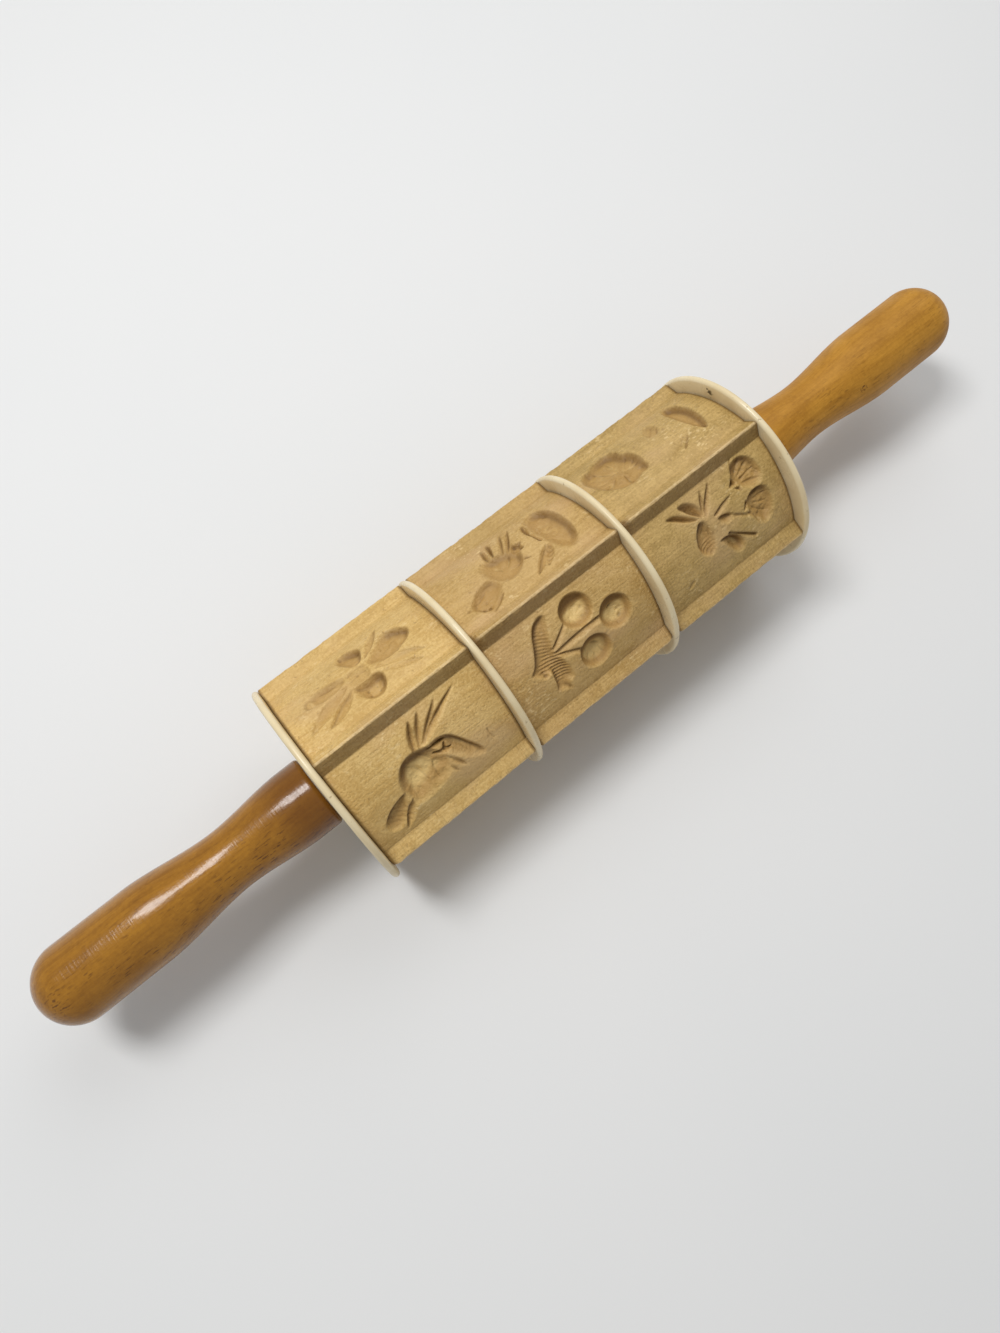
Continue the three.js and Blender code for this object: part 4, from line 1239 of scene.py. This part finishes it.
def carved_wood(name, pale, deep, pith):
    """Fine-grained wood: stain and painted shade in the hollows by depth, painted light on their deep
    floors, painted shade on their shaded walls, and painted shade, with some grime, in corners and creases,
    at the discs and on the ridges.
    """
    material, sheet, shader, place = new_material(name)
    shade_and_grime, depth, wall, ridge = (
        sheet.add("ShaderNodeAttribute", attribute_name=label).outputs["Fac"]
        for label in ("shade_and_grime", "carve_depth", "cut_wall", "ridge")
    )
    grain = wood_grain(sheet, place, pith, 0.0042, 0.35, 1100.0)
    hairs = sheet.noise(place, detail=3.0, roughness=0.6, stretch=(70.0, 1300.0, 1300.0))
    patches = sheet.noise(place, detail=5.0, roughness=0.62, stretch=(55.0, 90.0, 90.0))
    blots = sheet.noise(place, 260.0, detail=3.0, roughness=0.6)
    speckle = sheet.noise(place, 1250.0, roughness=0.65)
    tone = sheet.weighted(
        (grain["Rings"], 0.05), (hairs, 0.5), (patches, 0.45), (blots, 0.4), (speckle, 0.7)
    )
    olive = sheet.noise(place, detail=3.0, stretch=(22.0, 50.0, 50.0))
    rosy = sheet.noise(place, detail=3.0, stretch=(31.0, 64.0, 64.0))
    flaked = sheet.span(sheet.noise(place, 65.0), 0.5, 0.66, 0.0, 0.55)
    flakes = sheet.noise(place, 1000.0, stretch=(0.5, 1.0, 1.0))
    colour = sheet.layered(
        sheet.mix(sheet.span(tone, 0.88, 1.18), pale, deep),
        (sheet.span(olive, 0.52, 0.72, 0.0, 0.26), OLIVE_PATCH),
        (sheet.span(olive, 0.46, 0.3, 0.0, 0.3), HONEY_PATCH),
        (sheet.span(rosy, 0.5, 0.68, 0.0, 0.4), ROSY_PATCH),
        (sheet.span(sheet.noise(place, 640.0), 0.66, 0.75, 0.0, 0.4, smooth=True), DARK_SPECK),
        (sheet.times(flaked, sheet.span(flakes, 0.56, 0.66, smooth=True)), PALE_FLAKE),
    )
    chatter = sheet.noise(place, stretch=(1900.0, 120.0, 120.0))
    on_ridge = sheet.math("GREATER_THAN", ridge, 0.01)
    rubbed = sheet.times(sheet.span(ridge, 0.96, 1.0, 0.0, 0.6), sheet.span(chatter, 0.35, 0.65, 0.5, 1.0))
    # painted light, with paler cut wood, on the deep floors away from the shaded walls
    floors = sheet.times(sheet.span(depth, 0.58, 0.85, 0.0, 0.85), sheet.span(wall, 0.05, 0.5, 1.0, 0.0))
    # painted shade on the shaded walls of the hollows, and on chipped ridge corners
    walls = sheet.times(sheet.span(wall, 0.0, 1.0, 0.0, 0.88), sheet.span(depth, 0.05, 0.5, 0.6, 1.0))
    colour = sheet.layered(
        colour,
        (rubbed, RUBBED_CREST),
        (sheet.times(on_ridge, sheet.span(chatter, 0.5, 0.68, 0.0, 0.22)), ROUGH_CUT),
        # stain and painted shade in the hollows, growing with depth
        (sheet.span(depth, 0.06, 0.36, 0.0, 0.68), HOLLOW_STAIN_AND_SHADE),
        (floors, LIT_PALE_FLOOR),
        (sheet.times(walls, sheet.span(blots, 0.3, 0.7, 0.65, 1.0)), SHADED_WALL_BROWN),
        # painted shade, with some grime, in corners and creases, at the discs and on the ridges
        (sheet.span(shade_and_grime, 0.2, 1.0, 0.0, 0.68), SHADE_AND_GRIME_BROWN),
    )
    height = sheet.weighted(
        (hairs, 0.6), (speckle, 1.0), (blots, 1.0), (patches, 1.0), (sheet.times(chatter, on_ridge), 1.2)
    )
    finish_surface(sheet, shader, colour, sheet.span(patches, 0.3, 0.7, 0.44, 0.6), height, 0.0003, 1.0)
    shader.inputs["Specular IOR Level"].default_value = 0.35
    return material


def varnished_wood(name, amber, brown, pith, fleck_share, collar_shade_share, roughness, coat):
    """Turned hardwood under amber varnish, with short ray flecks on one side, fine turning marks and painted
    shade on the collar next to the disc.
    """
    material, sheet, shader, place = new_material(name)
    along, across, _ = sheet.split(place)
    grain = wood_grain(sheet, place, pith, 0.0026, 0.5, 900.0)
    blotches = sheet.noise(place, detail=4.0, roughness=0.6, stretch=(70.0, 120.0, 120.0))
    mottle = sheet.noise(place, 900.0, detail=3.0, roughness=0.6)
    tone = sheet.weighted(
        (grain["Rings"], 0.1), (grain["Fibre"], 0.35), (grain["Clouds"], 0.2),
        (blotches, 0.5), (mottle, 0.25),
    )
    flecks = sheet.noise(place, 1500.0, stretch=(0.2, 1.0, 1.0))
    flecks = sheet.span(flecks, 0.56, 0.66, 0.0, fleck_share, smooth=True)
    fleck_patches = sheet.span(sheet.noise(place, 90.0), 0.4, 0.62)
    rayed_side = sheet.span(across, 0.006, -0.006, 0.15, 1.0)
    # painted shade on the collar, darkest next to the disc
    collar_shade = sheet.span(sheet.math("ABSOLUTE", along), 0.116, 0.098, 0.0, collar_shade_share, smooth=True)
    colour = sheet.layered(
        sheet.mix(sheet.span(tone, 0.48, 0.82), amber, brown),
        (sheet.times(sheet.times(flecks, fleck_patches), rayed_side), RAY_FLECK),
        (sheet.times(grain["Pores"], 0.25), DARK_PORE),
        (small_mark(sheet, place, HANDLE_MARK), HANDLE_DENT),
        (collar_shade, COLLAR_SHADE),
    )
    turning = sheet.noise(sheet.join(along, 0.0, 0.0), 1500.0)
    height = sheet.weighted((turning, 0.8), (grain["Fibre"], 0.6), (mottle, 0.5), (blotches, 1.2))
    finish_surface(sheet, shader, colour, sheet.span(blotches, 0.3, 0.7, *roughness), height, 0.00012, 0.8)
    shader.inputs["Specular IOR Level"].default_value = 0.2
    shader.inputs["Coat Weight"].default_value = coat
    shader.inputs["Coat Roughness"].default_value = 0.09
    return material


def cream_plastic():
    """Glossy ivory plastic, yellowed, and a little darker towards the wood."""
    material, sheet, shader, place = new_material("cream_plastic")
    _, y, z = sheet.split(place)
    radius = sheet.vector("LENGTH", sheet.join(0.0, y, z))["Value"]
    clouds = sheet.noise(place, 70.0, detail=3.0, roughness=0.6)
    # darker towards the wood
    near_wood = sheet.times(sheet.span(radius, 0.0362, 0.0325, 0.0, 0.7), sheet.span(clouds, 0.25, 0.7))
    specks = sheet.span(sheet.noise(place, 420.0), 0.68, 0.76, 0.0, 0.55, smooth=True)
    nick = small_mark(sheet, place, END_DISC_NICK)
    colour = sheet.layered(
        sheet.mix(sheet.span(clouds, 0.35, 0.7), CREAM, YELLOWED_CREAM),
        (near_wood, DISC_NEAR_WOOD_TONE),
        (specks, DISC_SPECK),
        (nick, DISC_NICK),
    )
    height = sheet.weighted((clouds, 0.6), (specks, -0.4), (nick, -2.0))
    finish_surface(sheet, shader, colour, sheet.span(clouds, 0.3, 0.7, 0.2, 0.36), height, 0.0001, 0.4)
    return material


def peg_wood():
    material, sheet, shader, place = new_material("peg_wood")
    grain = wood_grain(sheet, place, (0.0, 0.02, -0.004), 0.0011, 0.3, 1600.0)
    fibre = grain["Fibre"]
    colour = sheet.mix(sheet.weighted((grain["Rings"], 0.6), (fibre, 0.5)), *PEG_COLOURS)
    finish_surface(sheet, shader, colour, sheet.span(fibre, 0.3, 0.7, 0.55, 0.75), fibre, 0.0001, 0.5)
    return material


def white_nylon():
    material, sheet, shader, place = new_material("white_nylon")
    clouds = sheet.noise(place, 160.0, detail=3.0)
    colour = sheet.mix(clouds, *NYLON_COLOURS)
    finish_surface(sheet, shader, colour, sheet.span(clouds, 0.3, 0.7, 0.4, 0.55), clouds, 0.00005, 0.4)
    return material


def drawn_steel():
    material, sheet, shader, place = new_material("drawn_steel")
    lines = sheet.noise(place, 2500.0, detail=3.0, stretch=(0.02, 1.0, 1.0))
    colour = sheet.mix(lines, *STEEL_COLOURS)
    finish_surface(sheet, shader, colour, sheet.span(lines, 0.3, 0.7, 0.22, 0.4), lines, 0.00003, 0.5)
    shader.inputs["Metallic"].default_value = 1.0
    return material


# Pieces

# The left block's wood is paler partly as painted light, brighter towards the left end of the pin; the other
# tints of the blocks are their own
BLOCK_WOODS = {
    "left": carved_wood(
        "carved_wood_left", (0.70, 0.48, 0.182, 1), (0.54, 0.34, 0.105, 1), pith=(0.0, 0.03, -0.16)
    ),
    "middle": carved_wood(
        "carved_wood_middle", (0.575, 0.38, 0.14, 1), (0.43, 0.262, 0.078, 1), pith=(0.0, -0.05, -0.13)
    ),
    "right": carved_wood(
        "carved_wood_right", (0.55, 0.37, 0.13, 1), (0.37, 0.237, 0.07, 1), pith=(0.0, 0.06, -0.12)
    ),
}
HANDLE_WOODS = {
    "left": varnished_wood(
        "varnished_wood_left", (0.415, 0.188, 0.017, 1), (0.25, 0.102, 0.008, 1), pith=(0.0, 0.022, -0.03),
        fleck_share=0.85, collar_shade_share=0.6, roughness=(0.18, 0.26), coat=0.25,
    ),
    "right": varnished_wood(
        "varnished_wood_right", (0.56, 0.275, 0.035, 1), (0.36, 0.16, 0.016, 1), pith=(0.0, -0.018, -0.034),
        fleck_share=0.4, collar_shade_share=0.15, roughness=(0.4, 0.52), coat=0.0,
    ),
}
DISC_PLASTIC = cream_plastic()

for seed, side in enumerate(MOTIFS, start=1):
    node = f"carved_segment_{side}"
    block = carved_block(side, node, seed, BLOCK_WOODS[side])
    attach(block, "roller")
    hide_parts(node)

disc_tree = lathe_tree("rounded_disc", ("Radius", "Thickness", "Hole radius"), disc_outline)
for node in ("end_disc_left", "divider_disc_left", "divider_disc_right", "end_disc_right"):
    low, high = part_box(node)
    hole_radius = END_DISC_HOLE_RADIUS if node.startswith("end") else AXLE_PASSAGE_RADIUS
    values = {
        "Steps round": DISC_STEPS_ROUND,
        "Steps along": DISC_STEPS_ALONG,
        "Start": (low.x + high.x) / 2,
        "Way": 1.0,
        "Radius": (high.z - low.z) / 2,
        "Thickness": high.x - low.x - 2 * PEG_STAND_OUT * MM,
        "Hole radius": hole_radius * MM,
        "Material": DISC_PLASTIC,
    }
    plate = turned_piece(f"rounded_{node}", disc_tree, values)
    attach(plate, "roller")
    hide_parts(node)

handle_sizes = {
    "Collar radius": HANDLE_COLLAR_RADIUS * MM,
    "Collar length": HANDLE_COLLAR_LENGTH * MM,
    "Waist radius": HANDLE_WAIST_RADIUS * MM,
    "Waist at": HANDLE_WAIST_AT * MM,
    "Grip radius": HANDLE_GRIP_RADIUS * MM,
    "Grip at": HANDLE_GRIP_AT * MM,
    "Nose length": HANDLE_NOSE_LENGTH * MM,
    "Edge rounding": HANDLE_EDGE_ROUNDING * MM,
}
handle_tree = lathe_tree("turned_handle", ("Length", *handle_sizes), handle_outline)
for side, way in (("left", -1.0), ("right", 1.0)):
    node = f"handle_{side}"
    low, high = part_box(node)
    values = {
        "Steps round": HANDLE_STEPS_ROUND,
        "Steps along": HANDLE_STEPS_ALONG,
        "Start": high.x if way < 0 else low.x,
        "Way": way,
        "Length": high.x - low.x,
        **handle_sizes,
        "Material": HANDLE_WOODS[side],
    }
    grip = turned_piece(f"turned_{node}", handle_tree, values)
    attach(grip, "handles_and_axle")
    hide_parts(node)

# Pieces that keep their solids, by a word in their names
nylon = white_nylon()
INNER_MATERIALS = {"peg": peg_wood(), "bush": nylon, "washer": nylon, "axle": drawn_steel()}
for node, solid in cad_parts.items():
    for word, material in INNER_MATERIALS.items():
        if word in node:
            solid.data.materials.clear()
            solid.data.materials.append(material)


# Stage, light and camera

def pale_floor(height):
    corners = [(x * FLOOR_REACH, y * FLOOR_REACH, height) for x, y in ((-1, -1), (1, -1), (1, 1), (-1, 1))]
    mesh = bpy.data.meshes.new("floor")
    mesh.from_pydata(corners, [], [(0, 1, 2, 3)])
    material, sheet, shader, place = new_material("pale_floor")
    sheet.put(shader.inputs["Base Color"], sheet.mix(sheet.noise(place, 6.0), *FLOOR_COLOURS))
    shader.inputs["Roughness"].default_value = 0.9
    mesh.materials.append(material)
    floor = bpy.data.objects.new("floor", mesh)
    bpy.context.scene.collection.objects.link(floor)
    floor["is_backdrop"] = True


def soft_lamp(name, place, size, power):
    """A square-cornered lamp that shines at the middle of the pin."""
    data = bpy.data.lights.new(name, "AREA")
    data.shape = "RECTANGLE"
    data.size, data.size_y = size
    data.energy = power
    lamp = bpy.data.objects.new(name, data)
    lamp.location = place
    lamp.rotation_euler = (-Vector(place)).to_track_quat("-Z", "Y").to_euler()
    bpy.context.scene.collection.objects.link(lamp)


def studio_world():
    """Even fill light, and a pale backdrop that the camera, gloss and glass see."""
    world = bpy.data.worlds.new("studio")
    world.use_nodes = True
    world.node_tree.nodes.clear()
    sheet = Sheet(world.node_tree)
    path = sheet.add("ShaderNodeLightPath").outputs
    seen = sheet.math("MAXIMUM", path["Is Camera Ray"], path["Is Glossy Ray"])
    seen = sheet.math("MAXIMUM", seen, path["Is Transmission Ray"])
    strength = sheet.span(seen, 0.0, 1.0, FILL_LIGHT, BACKDROP_LIGHT)
    background = sheet.add("ShaderNodeBackground", {"Color": (1.0, 1.0, 1.0, 1.0), "Strength": strength})
    sheet.add("ShaderNodeOutputWorld", {"Surface": background.outputs[0]})
    bpy.context.scene.world = world


def photo_camera():
    forward = Vector(CAMERA_FORWARD).normalized()
    right = Vector(CAMERA_RIGHT).normalized()
    up = right.cross(forward)
    data = bpy.data.cameras.new("photo_camera")
    data.sensor_width = SENSOR
    data.lens = SENSOR * FOCAL_PIXELS / PHOTO_HEIGHT
    data.clip_start = CAMERA_CLIP_START * MM
    camera = bpy.data.objects.new("photo_camera", data)
    turn = Matrix((right, up, -forward)).transposed()
    camera.matrix_world = Matrix.Translation(Vector(CAMERA_PLACE) * MM) @ turn.to_4x4()
    bpy.context.scene.collection.objects.link(camera)
    bpy.context.scene.camera = camera


pale_floor(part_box("end_disc_left")[0].z)
for name, lamp in LAMPS.items():
    soft_lamp(name, **lamp)
studio_world()
photo_camera()
bpy.context.scene.view_settings.view_transform = "Standard"

low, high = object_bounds()
